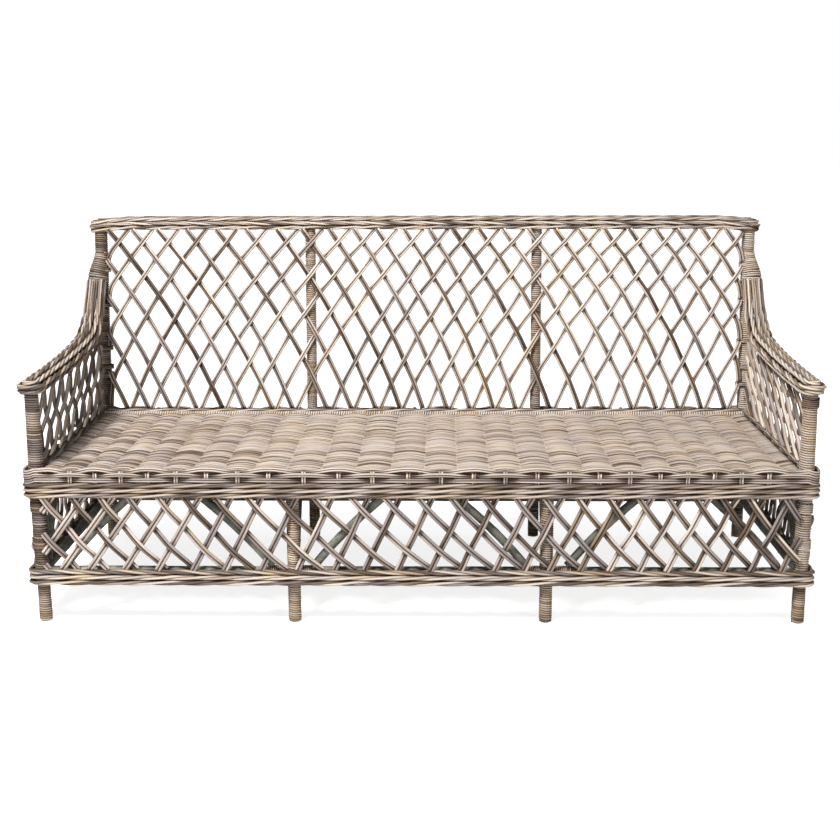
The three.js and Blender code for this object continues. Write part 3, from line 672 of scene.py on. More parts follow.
# The heights at which the back is tied to its corner posts
TIES = {"left": (0.776, 0.676, 0.554, 0.500, 0.478), "right": (0.790, 0.691, 0.574, 0.500, 0.451)}

# How far the winding over the ends of the arm's strands has swollen at each height
SWELL_LEVELS = (0.748, 0.752, 0.76, 0.775, 0.79, 0.805, 0.82, 0.83)
SWELL_SHARES = (1.0, 1.0, 0.97, 0.8, 0.52, 0.25, 0.06, 0.0)


def wind(name, guides, seed, width=None):
    """Winds peel along guides whose girth is the radius over the peel."""
    settings = bpy.context.scene.sofa_winding
    sizes = {
        "Peel width": width or settings.peel_width,
        "Peel thickness": settings.peel_thickness,
        "Points in a turn": settings.turn_points,
        "Unevenness": 0.0006,
        "Sides": 6,
        "Seed": seed,
        "Material": finish("rattan_peel"),
        "Core": finish("painted_shade_core"),
    }
    return grown(name, guides, peel_winding_tree(), sizes)


def upright_axis(x, y, levels):
    """Points up a post at the given heights. Those at the back lean."""
    return [Vector((x, y + (lean(z) if y > 0 else 0.0), z)) for z in levels]


def post_steps(foot_top, *body):
    """(height, girth) up a post: its foot, and the steps of its body."""
    foot = bpy.context.scene.sofa_winding.foot_girth
    return [(FLOOR_GAP, foot * 0.95), (0.008, foot), (foot_top, foot), *body]


def wound_post(name, x, y, steps, seed, tint, bands=(), swell=None):
    """A post wound from the floor up.

    steps are (height, girth), and bands are (height, length, girth, warm, aside)."""
    levels, girths = [], []
    for (low, first), (high, last) in zip(steps, steps[1:]):
        count = max(1, int((high - low) / 0.02))
        levels += spaced(low, high, count)[:-1]
        girths += spaced(first, last, count)[:-1]
    levels.append(steps[-1][0])
    girths.append(steps[-1][1])
    guides = Guides()
    tints = [FOOT_TINT if z < FOOT_TINT_TOP else tint for z in levels]
    guides.add(upright_axis(x, y, levels), REARWARD, girth=girths, tint=tints)
    parts = [wind(name, guides, seed)]
    if bands:
        rings = Guides()
        for z, length, girth, warm, aside in bands:
            ring = upright_axis(x + aside, y - 0.7 * abs(aside), [z, z + length / 2, z + length])
            rings.add(ring, REARWARD, girth=girth, tint=tint + 0.05, warm=warm)
        parts.append(wind(name + "_bands", rings, seed + 40, width=BAND_PEEL))
    if swell:
        parts.append(wind(name + "_swell", swell, seed + 80))
    nodes = [node for node in (name, name + "_wrap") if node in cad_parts]
    settle(name + "_wound", parts, "peel", *nodes)


def front_corner_post(hand, side, seed):
    """A front post, with two bands in the skirt and on the right a reddish band under the arm."""
    girth = bpy.context.scene.sofa_winding.corner_girth
    body = ((CORNER_BODY_LOW, girth), (0.40, girth), (FRONT_POST_TOP, girth - 0.0018))
    steps = post_steps(CORNER_FOOT_TOP, *body)
    lengths = {LOW_BAND_Z: 0.024, HIGH_BAND_Z: 0.026}
    bands = [(z, length, FRONT_BAND_GIRTH, 0.0, 0.0) for z, length in lengths.items()]
    if side > 0:
        bands.append(REDDISH_BAND)
    # The left post is darker and the right one lighter: painted shade on the left and painted light on the
    # right
    tint = 0.14 if side < 0 else 0.68
    wound_post(f"front_{hand}_post", side * POST_X, FRONT_Y, steps, seed, tint, bands)


def back_corner_post(hand, side, seed):
    """A back post, tied to the lattice and swollen over the ends of the arm's strands."""
    girth = bpy.context.scene.sofa_winding.corner_girth
    # The left post is darker and the right one lighter: painted shade on the left and painted light on the
    # right
    tint = 0.12 if side < 0 else 0.85
    bands = [(z, 0.012, TIE_GIRTH, 0.1 * k, -0.005 * side) for k, z in enumerate(TIES[hand])]
    bands += [(z, 0.022, BACK_BAND_GIRTH, 0.0, 0.0) for z in (LOW_BAND_Z, HIGH_BAND_Z)]
    axis = []
    for point, share in zip(upright_axis(side * POST_X, BACK_Y, SWELL_LEVELS), SWELL_SHARES):
        axis.append(point + Vector((side * 0.009 * share, -0.012 * share, 0.0)))
    swell = Guides()
    swell.add(axis, REARWARD, girth=[girth + 0.0006 + 0.0112 * share for share in SWELL_SHARES], tint=tint)
    steps = post_steps(CORNER_FOOT_TOP, (CORNER_BODY_LOW, girth), (POST_TOP, girth))
    wound_post(f"back_{hand}_post", side * POST_X, BACK_Y, steps, seed, tint, bands, swell)


class SOFA_OT_posts(bpy.types.Operator):
    """Winds peel round the eight posts and legs"""

    bl_idname = "sofa.posts"
    bl_label = "Wound posts"

    def execute(self, context):
        girth = context.scene.sofa_winding.middle_girth
        for i, (hand, side) in enumerate(SIDES.items()):
            front_corner_post(hand, side, 3 + i)
            back_corner_post(hand, side, 13 + i)
            body = ((MIDDLE_BODY_LOW, girth + 0.001), (MIDDLE_LEG_TOP, girth + 0.001))
            steps = post_steps(MIDDLE_FOOT_TOP, *body)
            wound_post(f"front_mid_{hand}_leg", side * LEG_X, FRONT_Y, steps, 23 + i, 0.5)
            steps = post_steps(MIDDLE_FOOT_TOP, (MIDDLE_BODY_LOW, girth), (POST_TOP, girth))
            tint = 0.66 if side < 0 else 0.5
            wound_post(f"back_mid_{hand}_post", side * BACK_POST_X, BACK_Y, steps, 33 + i, tint)
        return {"FINISHED"}


# Rails and braces

FRONT_RAIL_SPANS = ((-0.902, -0.318), (-0.2927, 0.2927), (0.318, 0.902))
BACK_RAIL_Y = 0.2987
BACK_RAIL_END = 0.9045
SIDE_RAIL_ENDS = (-0.344, 0.310)
LASHING_NEAR = 0.0156
LASHING_FAR = 0.0616
LASHING_GIRTH = 0.0155
LASHING_PEEL = 0.0052
SEAT_RAIL_END = 0.9047
SEAT_RAIL_Y = 0.2580
SEAT_RAIL_Z = 0.3825
SEAT_RAIL_GIRTH = 0.0088
SEAT_RAIL_PEEL = 0.0066
BRACE_BOW = 0.012
BRACE_LOW = 0.1413
BRACE_LOW_AT_LEG = 0.1438
BRACE_TOP = 0.3471

BOTTOM_RAILS = (
    "bottom_front_rail_left", "bottom_front_rail_middle", "bottom_front_rail_right",
    "bottom_back_rail", "bottom_left_rail", "bottom_right_rail",
)
BRACES = (
    "brace_left_corner", "brace_mid_left_outer", "brace_mid_left_inner",
    "brace_mid_right_inner", "brace_mid_right_outer", "brace_right_corner",
    "brace_left_side", "brace_mid_left_depth", "brace_right_side", "brace_mid_right_depth",
)


def poles(name, guides, seed, sway):
    """Bare poles along guides whose girth is their radius."""
    settings = bpy.context.scene.sofa_poles
    sizes = {
        "Knuckle spacing": settings.knuckle_spacing,
        "Knuckle height": settings.knuckle_height,
        "Sway": sway,
        "Sides": 12,
        "Seed": seed,
        "Material": finish("bare_pole"),
    }
    return grown(name, guides, knuckled_pole_tree(), sizes)


def bottom_rails(girth):
    """The rails over the foot, with the lashings that tie the front one to its middle legs."""
    rails, lashings = Guides(), Guides()
    for low, high in FRONT_RAIL_SPANS:
        rails.add(level_line(low, high, FRONT_Y, BOTTOM_RAIL_Z, 8), girth=girth)
    rails.add(level_line(-BACK_RAIL_END, BACK_RAIL_END, BACK_RAIL_Y, BOTTOM_RAIL_Z, 12), girth=girth)
    for side in SIDES.values():
        line = [Vector((side * POST_X, y, BOTTOM_RAIL_Z)) for y in spaced(*SIDE_RAIL_ENDS, 8)]
        rails.add(line, girth=girth)
    for middle in (-LEG_X, LEG_X):
        for way in (-1, 1):
            near, far = middle + way * LASHING_NEAR, middle + way * LASHING_FAR
            lashings.add(level_line(near, far, FRONT_Y, BOTTOM_RAIL_Z, 4), girth=LASHING_GIRTH, tint=0.45)
    parts = [poles("bottom_rails", rails, 5, 0.002)]
    parts.append(wind("bottom_rail_lashings", lashings, 61, width=LASHING_PEEL))
    settle("bottom_rails", parts, "dark_pole", *BOTTOM_RAILS)


def bowed(start, end, bow):
    """Points on a pole that bows between two ends."""
    start, end, bow = Vector(start), Vector(end), Vector(bow)
    return [start.lerp(end, share) + bow * 4 * share * (1 - share) for share in spaced(0, 1, 12)]


def knee_braces(girth):
    """The bent poles from the feet to the seat's frame: six along the front, and four that run back."""
    # Each starts near a leg at x and runs one way along the front, from its low end to the far one
    along = [
        (-POST_X, 1, 0.0566, 0.25825, BRACE_LOW),
        (-LEG_X, -1, 0.0508, 0.25825, BRACE_LOW_AT_LEG),
        (-LEG_X, 1, 0.0508, 0.2575, BRACE_LOW_AT_LEG),
    ]
    along += [(-x, -way, near, far, low) for x, way, near, far, low in along]
    braces = Guides()
    for x, way, near, far, low in along:
        start, end = (x + way * near, FRONT_Y, low), (x + way * far, FRONT_Y, BRACE_TOP)
        braces.add(bowed(start, end, (-way * BRACE_BOW, 0.0, 0.0)), girth=girth)
    # Those that run back: x, how far behind the front the low and the far end stand, the far end's height
    backwards = ((POST_X, 0.0498, 0.17, BRACE_TOP), (LEG_X, 0.045, 0.19, 0.3511))
    for side in SIDES.values():
        for x, near, far, high in backwards:
            start, end = (side * x, FRONT_Y + near, BRACE_LOW), (side * x, FRONT_Y + far, high)
            braces.add(bowed(start, end, (0.0, -BRACE_BOW, 0.0)), girth=girth)
    settle("knee_braces", [poles("knee_braces", braces, 8, 0.003)], "dark_pole", *BRACES)


def seat_back_rail():
    """The wound rail that shows as a thin ticked line at the back of the seat."""
    rail = Guides()
    line = level_line(-SEAT_RAIL_END, SEAT_RAIL_END, SEAT_RAIL_Y, SEAT_RAIL_Z, 12)
    rail.add(line, girth=SEAT_RAIL_GIRTH, tint=1.0)
    wound = wind("seat_back_rail", rail, 71, width=SEAT_RAIL_PEEL)
    settle("seat_back_rail_wound", [wound], "peel", "seat_back_rail")


class SOFA_OT_poles(bpy.types.Operator):
    """Makes the bare bottom rails with their lashings, the knee braces and the wound back rail of the seat"""

    bl_idname = "sofa.poles"
    bl_label = "Rails and braces"

    def execute(self, context):
        settings = context.scene.sofa_poles
        bottom_rails(settings.rail_radius)
        knee_braces(settings.brace_radius)
        seat_back_rail()
        return {"FINISHED"}


# Lattices

LATTICE_STEPS = 60
FEWEST_POINTS = 5
CANE_TINT_RANGE = 0.3
UNDER_SHADE = 0.75
TIGHTEST_BEND = 0.45


def index_of(x, row):
    """The number, with its fraction, of the cane that would pass through x in a row of canes' places."""
    for j in range(len(row) - 1):
        if x < row[j + 1] or j == len(row) - 2:
            return j + (x - row[j]) / (row[j + 1] - row[j])
    return 0.0


def chances(seed):
    """Numbers from 0 to 1 that are the same in every run."""
    multiplier, increment, modulus = 1103515245, 12345, 2 ** 31
    while True:
        seed = (seed * multiplier + increment) % modulus
        yield seed / modulus


def lattice_guides(low, high, falling, rising, half, place, facing, seed, tints, girths=(1.0, 1.0),
                   swing=0.0036, wobble=0.0, top_at=None, hug=0.0, brighter=0.0, inside=0.0):
    """Both families of a lattice, woven over one and under one.

    falling and rising are rows of functions that give a cane's place along the panel at a share of the height
    from the top, and tints and girths have one value for each family. place turns a place in the panel into a
    point. swing is how far a cane moves out of the panel at a crossing, and wobble how far along it. top_at
    gives the panel's height at a place. hug is the length over which a cane bends along the post that its
    lower end meets, brighter how much the canes gain to the right, and inside how far the rising ones keep
    inside."""
    guides, chance = Guides(), chances(seed)
    shares = spaced(0, 1, LATTICE_STEPS)
    families = [[[cane(share) for share in shares] for cane in family] for family in (falling, rising)]
    tightest = TIGHTEST_BEND * hug
    for family, way in enumerate((-1, 1)):
        others = families[1 - family]
        for k, cane in enumerate(families[family]):
            gained = brighter * cane[LATTICE_STEPS // 2]
            tint = tints[family] + CANE_TINT_RANGE * (next(chance) - 0.5) + gained
            points, dips = [], []
            for i, share in enumerate(shares):
                x, z = cane[i], high - (high - low) * share
                edge = half - tightest if x * way > 0 else half
                if abs(x) > edge or (top_at and z > top_at(x)):
                    if len(points) >= FEWEST_POINTS:
                        break
                    points, dips = [], []
                    continue
                past = abs(x) - (half - hug)
                if hug and past > 0 and x * way < 0:
                    x = math.copysign(half - hug + tightest * (1 - math.exp(-past / tightest)), x)
                wave = math.cos(math.pi * index_of(x, [other[i] for other in others]))
                over = way * (-1) ** k * wave * (1 - inside) + inside * way
                points.append(place(x + wobble * over, z, swing * over))
                # Painted shade where the cane passes under one of the other family
                dips.append(UNDER_SHADE * max(0.0, -over) ** 3)
            if len(points) >= FEWEST_POINTS:
                guides.add(points, facing, tint=tint, dip=dips, girth=girths[family])
    return guides


def even_canes(pitch, shift, run):
    """Canes at even distances, more than a panel needs.

    shift moves them all by a share of the pitch, and run says how far one has moved at a share of the way."""
    half = 17
    return [lambda share, x=(k + shift) * pitch: x + run(share) for k in range(-half, half)]


def canes(name, guides, radius, seed, spacing=1.93, sway=0.004, edge=0.3):
    """Pairs of canes along the guides. spacing is the distance within a pair, in radii, and edge the weight
    of the painted shade along the pairs' outer edges.
    """
    sizes = {
        "Canes": 2,
        "Cane radius": radius,
        "Spacing": radius * spacing,
        "Sway": sway,
        "Edge shade": edge,
        "Sides": 8,
        "Seed": seed,
        "Material": finish("rattan_cane"),
    }
    return grown(name, guides, paired_canes_tree(), sizes)


# Where the canes of the back cross in a row under the crest, and where each family stands behind the seat
BACK_CROSSINGS = (
    -0.864, -0.795, -0.722, -0.642, -0.557, -0.474, -0.387, -0.317, -0.241, -0.172, -0.107, -0.033,
    0.039, 0.108, 0.181, 0.251, 0.322, 0.398, 0.464, 0.535, 0.606, 0.679, 0.740, 0.809, 0.877,
)
FALLING_BACK_FEET = (
    -0.856, -0.796, -0.733, -0.657, -0.583, -0.520, -0.438, -0.380, -0.282, -0.212, -0.141, -0.069,
    -0.005, 0.064, 0.130, 0.197, 0.261, 0.357, 0.443, 0.512, 0.592, 0.662, 0.725, 0.791, 0.858,
)
RISING_BACK_FEET = (
    -0.835, -0.776, -0.706, -0.632, -0.563, -0.495, -0.419, -0.358, -0.256, -0.192, -0.120, -0.055,
    0.017, 0.081, 0.146, 0.212, 0.279, 0.379, 0.459, 0.535, 0.606, 0.682, 0.741, 0.809, 0.873,
)
# Crossings that would lie past the left and the right post
PAST_LEFT = (-1.15, -1.08, -1.01, -0.937)
PAST_RIGHT = (0.95, 1.02, 1.095, 1.17)
CROSSING_Z = 0.861
BACK_FOOT_Z = 0.4
BACK_LATTICE_LOW = 0.389
BACK_LATTICE_HALF = 0.925
TUCK_START = 0.892
TUCK_SHARE = 0.9


def back_cane(crossing, foot):
    """A cane of the back that passes through its crossing and its foot, steeper towards the foot."""
    def bent(share):
        return 1.35 * share - 0.35 * share * share

    height = POST_TOP - BACK_LATTICE_LOW
    level = (POST_TOP - CROSSING_Z) / height
    stretch = (foot - crossing) / (bent((POST_TOP - BACK_FOOT_Z) / height) - bent(level))
    return lambda share: crossing + stretch * (bent(share) - bent(level))


def back_place(x, z, depth):
    """A point of the back. Its outermost canes stand a little further back, behind the corner post."""
    tucked = TUCK_SHARE * max(0.0, abs(x) - TUCK_START)
    return Vector((x, BACK_Y - SKIRT_OUT + lean(z) - depth + tucked, z))


class SOFA_OT_back_lattice(bpy.types.Operator):
    """Weaves the open lattice of the back"""

    bl_idname = "sofa.back_lattice"
    bl_label = "Back lattice"

    def execute(self, context):
        falling_feet = (*FALLING_BACK_FEET, *[0.27 + x for x in BACK_CROSSINGS[-4:]])
        rising_feet = (*[x - 0.28 for x in BACK_CROSSINGS[:4]], *RISING_BACK_FEET)
        falling = [back_cane(x, foot) for x, foot in zip((*PAST_LEFT, *BACK_CROSSINGS), falling_feet)]
        rising = [back_cane(x, foot) for x, foot in zip((*BACK_CROSSINGS, *PAST_RIGHT), rising_feet)]
        guides = lattice_guides(
            BACK_LATTICE_LOW, POST_TOP, falling, rising, BACK_LATTICE_HALF, back_place, REARWARD, 11,
            tints=(0.64, 0.90), girths=(1.08, 0.97), wobble=0.0008, hug=0.045, brighter=0.22,
        )
        cane = context.scene.sofa_lattices.back_cane
        settle("back_lattice_canes", [canes("back_lattice_canes", guides, cane, 21)], "cane", "back_lattice")
        return {"FINISHED"}


# The heights of the two borders that the skirt stands between
SKIRT_LOW = 0.138
SKIRT_HIGH = 0.326

# Where the falling canes of the front skirt start at the seat border, and the rising ones at the foot border
FALLING_TOPS = (
    -0.835, -0.767, -0.699, -0.628, -0.566, -0.491, -0.414, -0.343, -0.255, -0.168, -0.087, -0.008,
    0.070, 0.149, 0.225, 0.294, 0.372, 0.444, 0.516, 0.586, 0.651, 0.715, 0.778, 0.864,
)
RISING_FEET = (
    -0.865, -0.798, -0.713, -0.633, -0.547, -0.470, -0.381, -0.294, -0.206, -0.133, -0.054, 0.026,
    0.098, 0.180, 0.250, 0.311, 0.384, 0.454, 0.525, 0.591, 0.659, 0.725, 0.792, 0.865,
)


def bowed_run(run):
    """How far a falling cane of the skirt has moved at a share of the way: more and more towards the foot."""
    return lambda share: run * (0.78 * share + 0.22 * share * share)


def hump(x, middle, width):
    """1 at the middle, and less and less on both sides of it."""
    return math.exp(-((x - middle) / width) ** 2)


def cane_from_top(top):
    """A falling cane of the front skirt. Those left of the middle lean the most."""
    run = bowed_run(0.152 + 0.046 * hump(top, -0.17, 0.36))
    return lambda share: top + run(share)


def cane_from_foot(foot):
    """A rising cane of the front skirt. Those at the left end lean the most."""
    run = 0.088 + 0.05 * hump(foot, -0.88, 0.30) + 0.014 * hump(foot, 0.5, 0.25)
    return lambda share: foot + run * (1 - share)


# Each panel of the skirt: half its length, what turns a place in it into a point, and the way in
SKIRT_PANELS = {
    "front": (POST_X, lambda u, z, d: Vector((u, FRONT_Y - SKIRT_OUT - d, z)), REARWARD),
    "back": (POST_X, lambda u, z, d: Vector((-u, BACK_Y + SKIRT_OUT + d, z)), (0.0, -1.0, 0.0)),
    "left": (0.344, lambda u, z, d: Vector((-POST_X - SKIRT_OUT - d, MIDDLE_Y - u, z)), (1.0, 0.0, 0.0)),
    "right": (0.344, lambda u, z, d: Vector((POST_X + SKIRT_OUT + d, MIDDLE_Y + u, z)), (-1.0, 0.0, 0.0)),
}


class SOFA_OT_skirt_lattices(bpy.types.Operator):
    """Weaves the lattices between the seat border and the foot border"""

    bl_idname = "sofa.skirt_lattices"
    bl_label = "Skirt lattices"

    def execute(self, context):
        settings = context.scene.sofa_lattices
        falling = [cane_from_top(x) for x in (-1.115, -1.045, -0.975, -0.905, *FALLING_TOPS, 0.935)]
        rising = [cane_from_foot(x) for x in (-1.155, -1.08, -1.005, -0.935, *RISING_FEET, 0.935)]
        evenly_falling = even_canes(settings.skirt_pitch, 0.0, bowed_run(0.17))
        evenly_rising = even_canes(settings.skirt_pitch, 0.3, lambda share: -0.10 * share)
        for i, (side, (half, place, facing)) in enumerate(SKIRT_PANELS.items()):
            families = (falling, rising) if side == "front" else (evenly_falling, evenly_rising)
            guides = lattice_guides(
                SKIRT_LOW, SKIRT_HIGH, *families, half - 0.012, place, facing, 31 + i,
                tints=(0.36, 0.42), girths=(1.04, 1.04), swing=0.0040,
            )
            name = side + "_skirt_canes"
            settle(name, [canes(name, guides, settings.skirt_cane, 41 + i)], "cane", side + "_skirt_lattice")
        return {"FINISHED"}


# The line of an arm: shares of the depth between the posts, and of the climb to the back post
ARM_DEPTHS = (0, 0.17, 0.3, 0.43, 0.56, 0.68, 0.765, 0.84, 0.895, 0.935, 0.966, 0.987)
ARM_CLIMBS = (0, 0.012, 0.03, 0.056, 0.095, 0.145, 0.215, 0.36, 0.52, 0.69, 0.855, 1)
STEEP_CLIMB = 0.145
ARM_FRONT_Z = 0.588
ARM_END_Y = 0.3288
ARM_END_Z = 0.755


def arm_stations(steps=5):
    """(y, z, ease) along an arm from the front post to the winding on the back post, on a smooth curve.

    ease grows from 0 to 1 over the steep end, where the arm gets slim."""
    rough = []
    for depth, climb in zip(ARM_DEPTHS, ARM_CLIMBS):
        y = FRONT_Y + (ARM_END_Y - FRONT_Y) * depth / ARM_DEPTHS[-1]
        z = ARM_FRONT_Z + (ARM_END_Z - ARM_FRONT_Z) * climb
        share = max(0.0, climb - STEEP_CLIMB) / (1 - STEEP_CLIMB)
        rough.append(Vector((y, z, 1 - (1 - share) ** 2)))
    smooth = []
    for a, b, c, d in zip([rough[0], *rough], rough, rough[1:], [*rough[2:], rough[-1]]):
        for j in range(steps):
            part = j / steps
            bend = (2 * a - 5 * b + 4 * c - d) * part * part + (3 * b - a - 3 * c + d) * part ** 3
            smooth.append(0.5 * (2 * b + (c - a) * part + bend))
    return smooth + [rough[-1]]


def arm_height(stations, y):
    """The height of an arm at a place between the front and the back."""
    for a, b in zip(stations, stations[1:]):
        if a.x <= y <= b.x:
            return a.y + (b.y - a.y) * (y - a.x) / (b.x - a.x)
    return stations[0].y if y < stations[0].x else stations[-1].y


# The lattices under the arms go up into the arms' rows, and differ between the two sides
ARM_LATTICE_LOW = 0.384
ARM_LATTICE_HIGH = 0.70
ARM_LATTICE_HALF = 0.326
ARM_OVERLAP = 0.006
# The left lattice's lower tints are painted shade; the right one's higher tints are partly painted light and
# partly its own more golden canes
ARM_LATTICES = {
    "left": {"tints": (0.0, 0.45), "girths": (1.22, 1.15), "inside": 0.35, "swing": 0.0030},
    "right": {"tints": (0.08, 0.55), "girths": (1.12, 1.27), "inside": 0.62, "swing": 0.0030},
}
ARM_PITCH_SHARES = {"left": 1.0, "right": 0.9}
ARM_CANE_RUNS = {"left": -0.40, "right": -0.50}


class SOFA_OT_arm_lattices(bpy.types.Operator):
    """Weaves the steep canes between the seat and the arms"""

    bl_idname = "sofa.arm_lattices"
    bl_label = "Arm lattices"

    def execute(self, context):
        settings = context.scene.sofa_lattices
        stations = arm_stations()
        for i, (hand, side) in enumerate(SIDES.items()):
            pitch = settings.arm_pitch * ARM_PITCH_SHARES[hand]
            falling = even_canes(pitch, 0.1, lambda share: 0.12 * share)
            rising = even_canes(pitch, 0.3, lambda share: ARM_CANE_RUNS[hand] * share)

            def place(u, z, depth):
                return Vector((side * (POST_X - depth), MIDDLE_Y + u, z))

            guides = lattice_guides(
                ARM_LATTICE_LOW, ARM_LATTICE_HIGH, falling, rising, ARM_LATTICE_HALF, place,
                (-side, 0.0, 0.0), 51 + i,
                top_at=lambda u: arm_height(stations, MIDDLE_Y + u) - ARM_OVERLAP, **ARM_LATTICES[hand],
            )
            name = hand + "_arm_canes"
            settle(name, [canes(name, guides, settings.arm_cane, 61 + i)], "cane", hand + "_arm_lattice")
        return {"FINISHED"}


# Borders

BORDER_OUT = 0.0256
RANDING_OUT = 0.0248
INNER_OUT = 0.0185
SEAT_BORDER = ["seat_border_" + side for side in ALL_ROUND]
FOOT_BORDER = ["foot_border_" + side for side in ALL_ROUND]

# Where the stakes of the seat come out at its front edge, and how far apart they stand at its ends
STAKES = (
    -0.832, -0.772, -0.710, -0.647, -0.579, -0.506, -0.432, -0.3585, -0.2745, -0.1915, -0.1115, -0.026,
    0.051, 0.129, 0.204, 0.279, 0.3545, 0.426, 0.498, 0.5695, 0.634, 0.697, 0.760, 0.825,
)
STAKE_SPACING = 0.076

# Along the back the randed rows lie closer to the height where the first one starts
RANDING_LOW = 0.354
CLOSER_BEHIND = 0.30


def twist(name, guides, strands, seed, pitch, radius=None, out=None, up=None, sway=0.0022):
    """Strands twisted round each other along the guides. Sizes not given are those of a wale."""
    settings = bpy.context.scene.sofa_borders
    sizes = {
        "Strands": strands,
        "Strand radius": radius or settings.strand,
        "Out swing": out or settings.out_swing,
        "Up swing": up or settings.up_swing,
        "Pitch": pitch,
        "Step": STRAND_STEP,
        "Sway": sway,
        "Sides": 7,
        "Seed": seed,
        "Material": finish("rattan_weave"),
    }
    return grown(name, guides, twisted_strands_tree(), sizes)


def loop_round_sofa(out, z, steps=10):
    """A closed level line round the posts, a little swollen at each corner."""
    points = []
    for i, (x, y) in enumerate(SOFA_CORNERS):
        start = math.pi + i * math.pi / 2
        for j, angle in enumerate(spaced(start, start + math.pi / 2, steps)):
            reach = out * (1 + 0.14 * math.sin(math.pi * j / steps))
            points.append(Vector((x + reach * math.cos(angle), y + reach * math.sin(angle), z)))
    return points


def closing_pitch(points, pitch):
    """The pitch nearest to the wanted one that closes the twist on a loop."""
    length = sum((b - a).length for a, b in zip(points, points[1:] + points[:1]))
    return length / max(1, round(length / abs(pitch))) * math.copysign(1.0, pitch)


def wale_loop(name, bend, z, strands, pitch, seed, tint=0.58, start=0.0, dip=0.0, **more):
    """A closed wale round the sofa. bend is how far it stands outside the middles of the posts."""
    points = loop_round_sofa(bend, z)
    guides = Guides()
    guides.add(points, closed=True, tint=tint, start=start, dip=dip)
    return twist(name, guides, strands, seed, closing_pitch(points, pitch), **more)


def painted_shade_wale(name, z, pitch, seed):
    """A nearly black wale behind the others: painted shade, so that no light shows between them."""
    look = {"tint": 0.0, "dip": 1.0, "radius": 0.0042, "out": 0.001, "up": 0.0035}
    return wale_loop(name, INNER_OUT, z, 2, pitch, seed, **look)


def border_sides():
    """The four sides of the seat: start, end, the ways along and out, and how far along the stakes stand."""
    corners = [Vector((x, y, 0.0)) for x, y in SOFA_CORNERS]
    front = [x + POST_X for x in STAKES]
    back = [2 * POST_X - x for x in reversed(front)]
    end = [(BACK_Y - FRONT_Y) / 2 + k * STAKE_SPACING for k in range(-4, 5)]
    for a, b, stakes in zip(corners, corners[1:] + corners[:1], (front, end, back, end)):
        along = (b - a).normalized()
        yield a, b, along, Vector((along.y, -along.x, 0.0)), stakes


def randed_row(z, turn, lift):
    """A closed row round the seat that passes in front of one stake, where it arches up, and behind the next.

    Returns its points, the ways that they face and the painted shade at each, deeper where the row passes
    behind a stake."""
    swing, eased, corner_steps = 0.0045, 0.05, 9
    points, facing, dips = [], [], []
    for start, end, along, outward, stakes in border_sides():
        length = (end - start).length
        sunk = CLOSER_BEHIND * (z - RANDING_LOW) if start.y > 0 and end.y > 0 else 0.0
        for travelled in spaced(0.0, length, int(length / 0.009)):
            ease = min(1.0, travelled / eased, (length - travelled) / eased)
            wave = -ease * math.cos(math.pi * (index_of(travelled, stakes) + turn))
            height = Vector((0.0, 0.0, z - sunk * ease + lift * wave))
            points.append(start + along * travelled + outward * (RANDING_OUT + swing * wave) + height)
            facing.append(outward)
            # Painted shade where the row passes behind a stake
            dips.append(0.9 * max(0.0, -wave) ** 1.5)
        first = math.atan2(outward.y, outward.x)
        for j in range(1, corner_steps):
            angle = first + math.pi / 2 * j / corner_steps
            bulge = math.sin(math.pi * j / corner_steps)
            round_way = Vector((math.cos(angle), math.sin(angle), 0.0))
            height = Vector((0.0, 0.0, z - 0.005 * bulge))
            points.append(end + round_way * (RANDING_OUT + 0.006 * bulge) + height)
            facing.append(round_way)
            # A little painted shade round the corners
            dips.append(0.2)
    return points, facing, dips


def seat_border_wales(pitch):
    """The three wales under the seat's edge, and the dark ones of painted shade behind the whole border."""
    parts = []
    for i, z in enumerate((0.3245, 0.3372, 0.3499)):
        parts.append(wale_loop(f"seat_wale_{i}", BORDER_OUT, z, 3, -pitch, 81 + i, start=0.37 * i))
    for i, z in enumerate((0.331, 0.3435, 0.3555, 0.367, 0.376)):
        parts.append(painted_shade_wale(f"seat_inner_wale_{i}", z, -pitch, 85 + i))
    settle("seat_border_wales", parts, "weave", *SEAT_BORDER)


def seat_border_randing():
    """The three rows over the wales that go round the stakes, and the stakes' ends that show between them."""
    parts = []
    rows = ((0.3625, 0.0010, 0.46), (0.3742, 0.0030, 0.54), (0.3862, 0.0052, 0.66))
    for i, (z, lift, tint) in enumerate(rows):
        points, facing, dips = randed_row(z, i, lift)
        guides = Guides()
        guides.add(points, facing, closed=True, tint=tint, dip=dips)
        parts.append(canes(f"seat_randed_row_{i}", guides, 0.0027, 91 + i, spacing=1.9, sway=0.002, edge=0.9))
    ends = Guides()
    for start, _, along, outward, stakes in border_sides():
        for k, stake in enumerate(stakes):
            foot = start + along * stake + outward * RANDING_OUT
            levels = (RANDING_LOW, 0.362, 0.37, 0.3800 if k % 2 else 0.3835)
            ends.add([foot + Vector((0.0, 0.0, z)) for z in levels], outward, tint=0.85)
    parts.append(canes("seat_border_stakes", ends, 0.0026, 95, spacing=2.0, sway=0.001))
    settle("seat_border_randing", parts, "weave", *SEAT_BORDER)


def foot_border(pitch):
    """The three wales over the feet, the top one twisted the other way, and the dark ones of painted shade
    behind them.
    """
    parts = []
    for i, (z, turn) in enumerate(((0.1065, -pitch), (0.1203, -pitch), (0.1341, 0.152))):
        look = {"start": 0.41 * i, "tint": 0.46, "radius": 0.0034, "up": 0.0034}
        parts.append(wale_loop(f"foot_wale_{i}", BORDER_OUT, z, 3, turn, 101 + i, **look))
    for i, z in enumerate((0.113, 0.127)):
        parts.append(painted_shade_wale(f"foot_inner_wale_{i}", z, -pitch, 105 + i))
    settle("foot_border_weave", parts, "weave", *FOOT_BORDER)


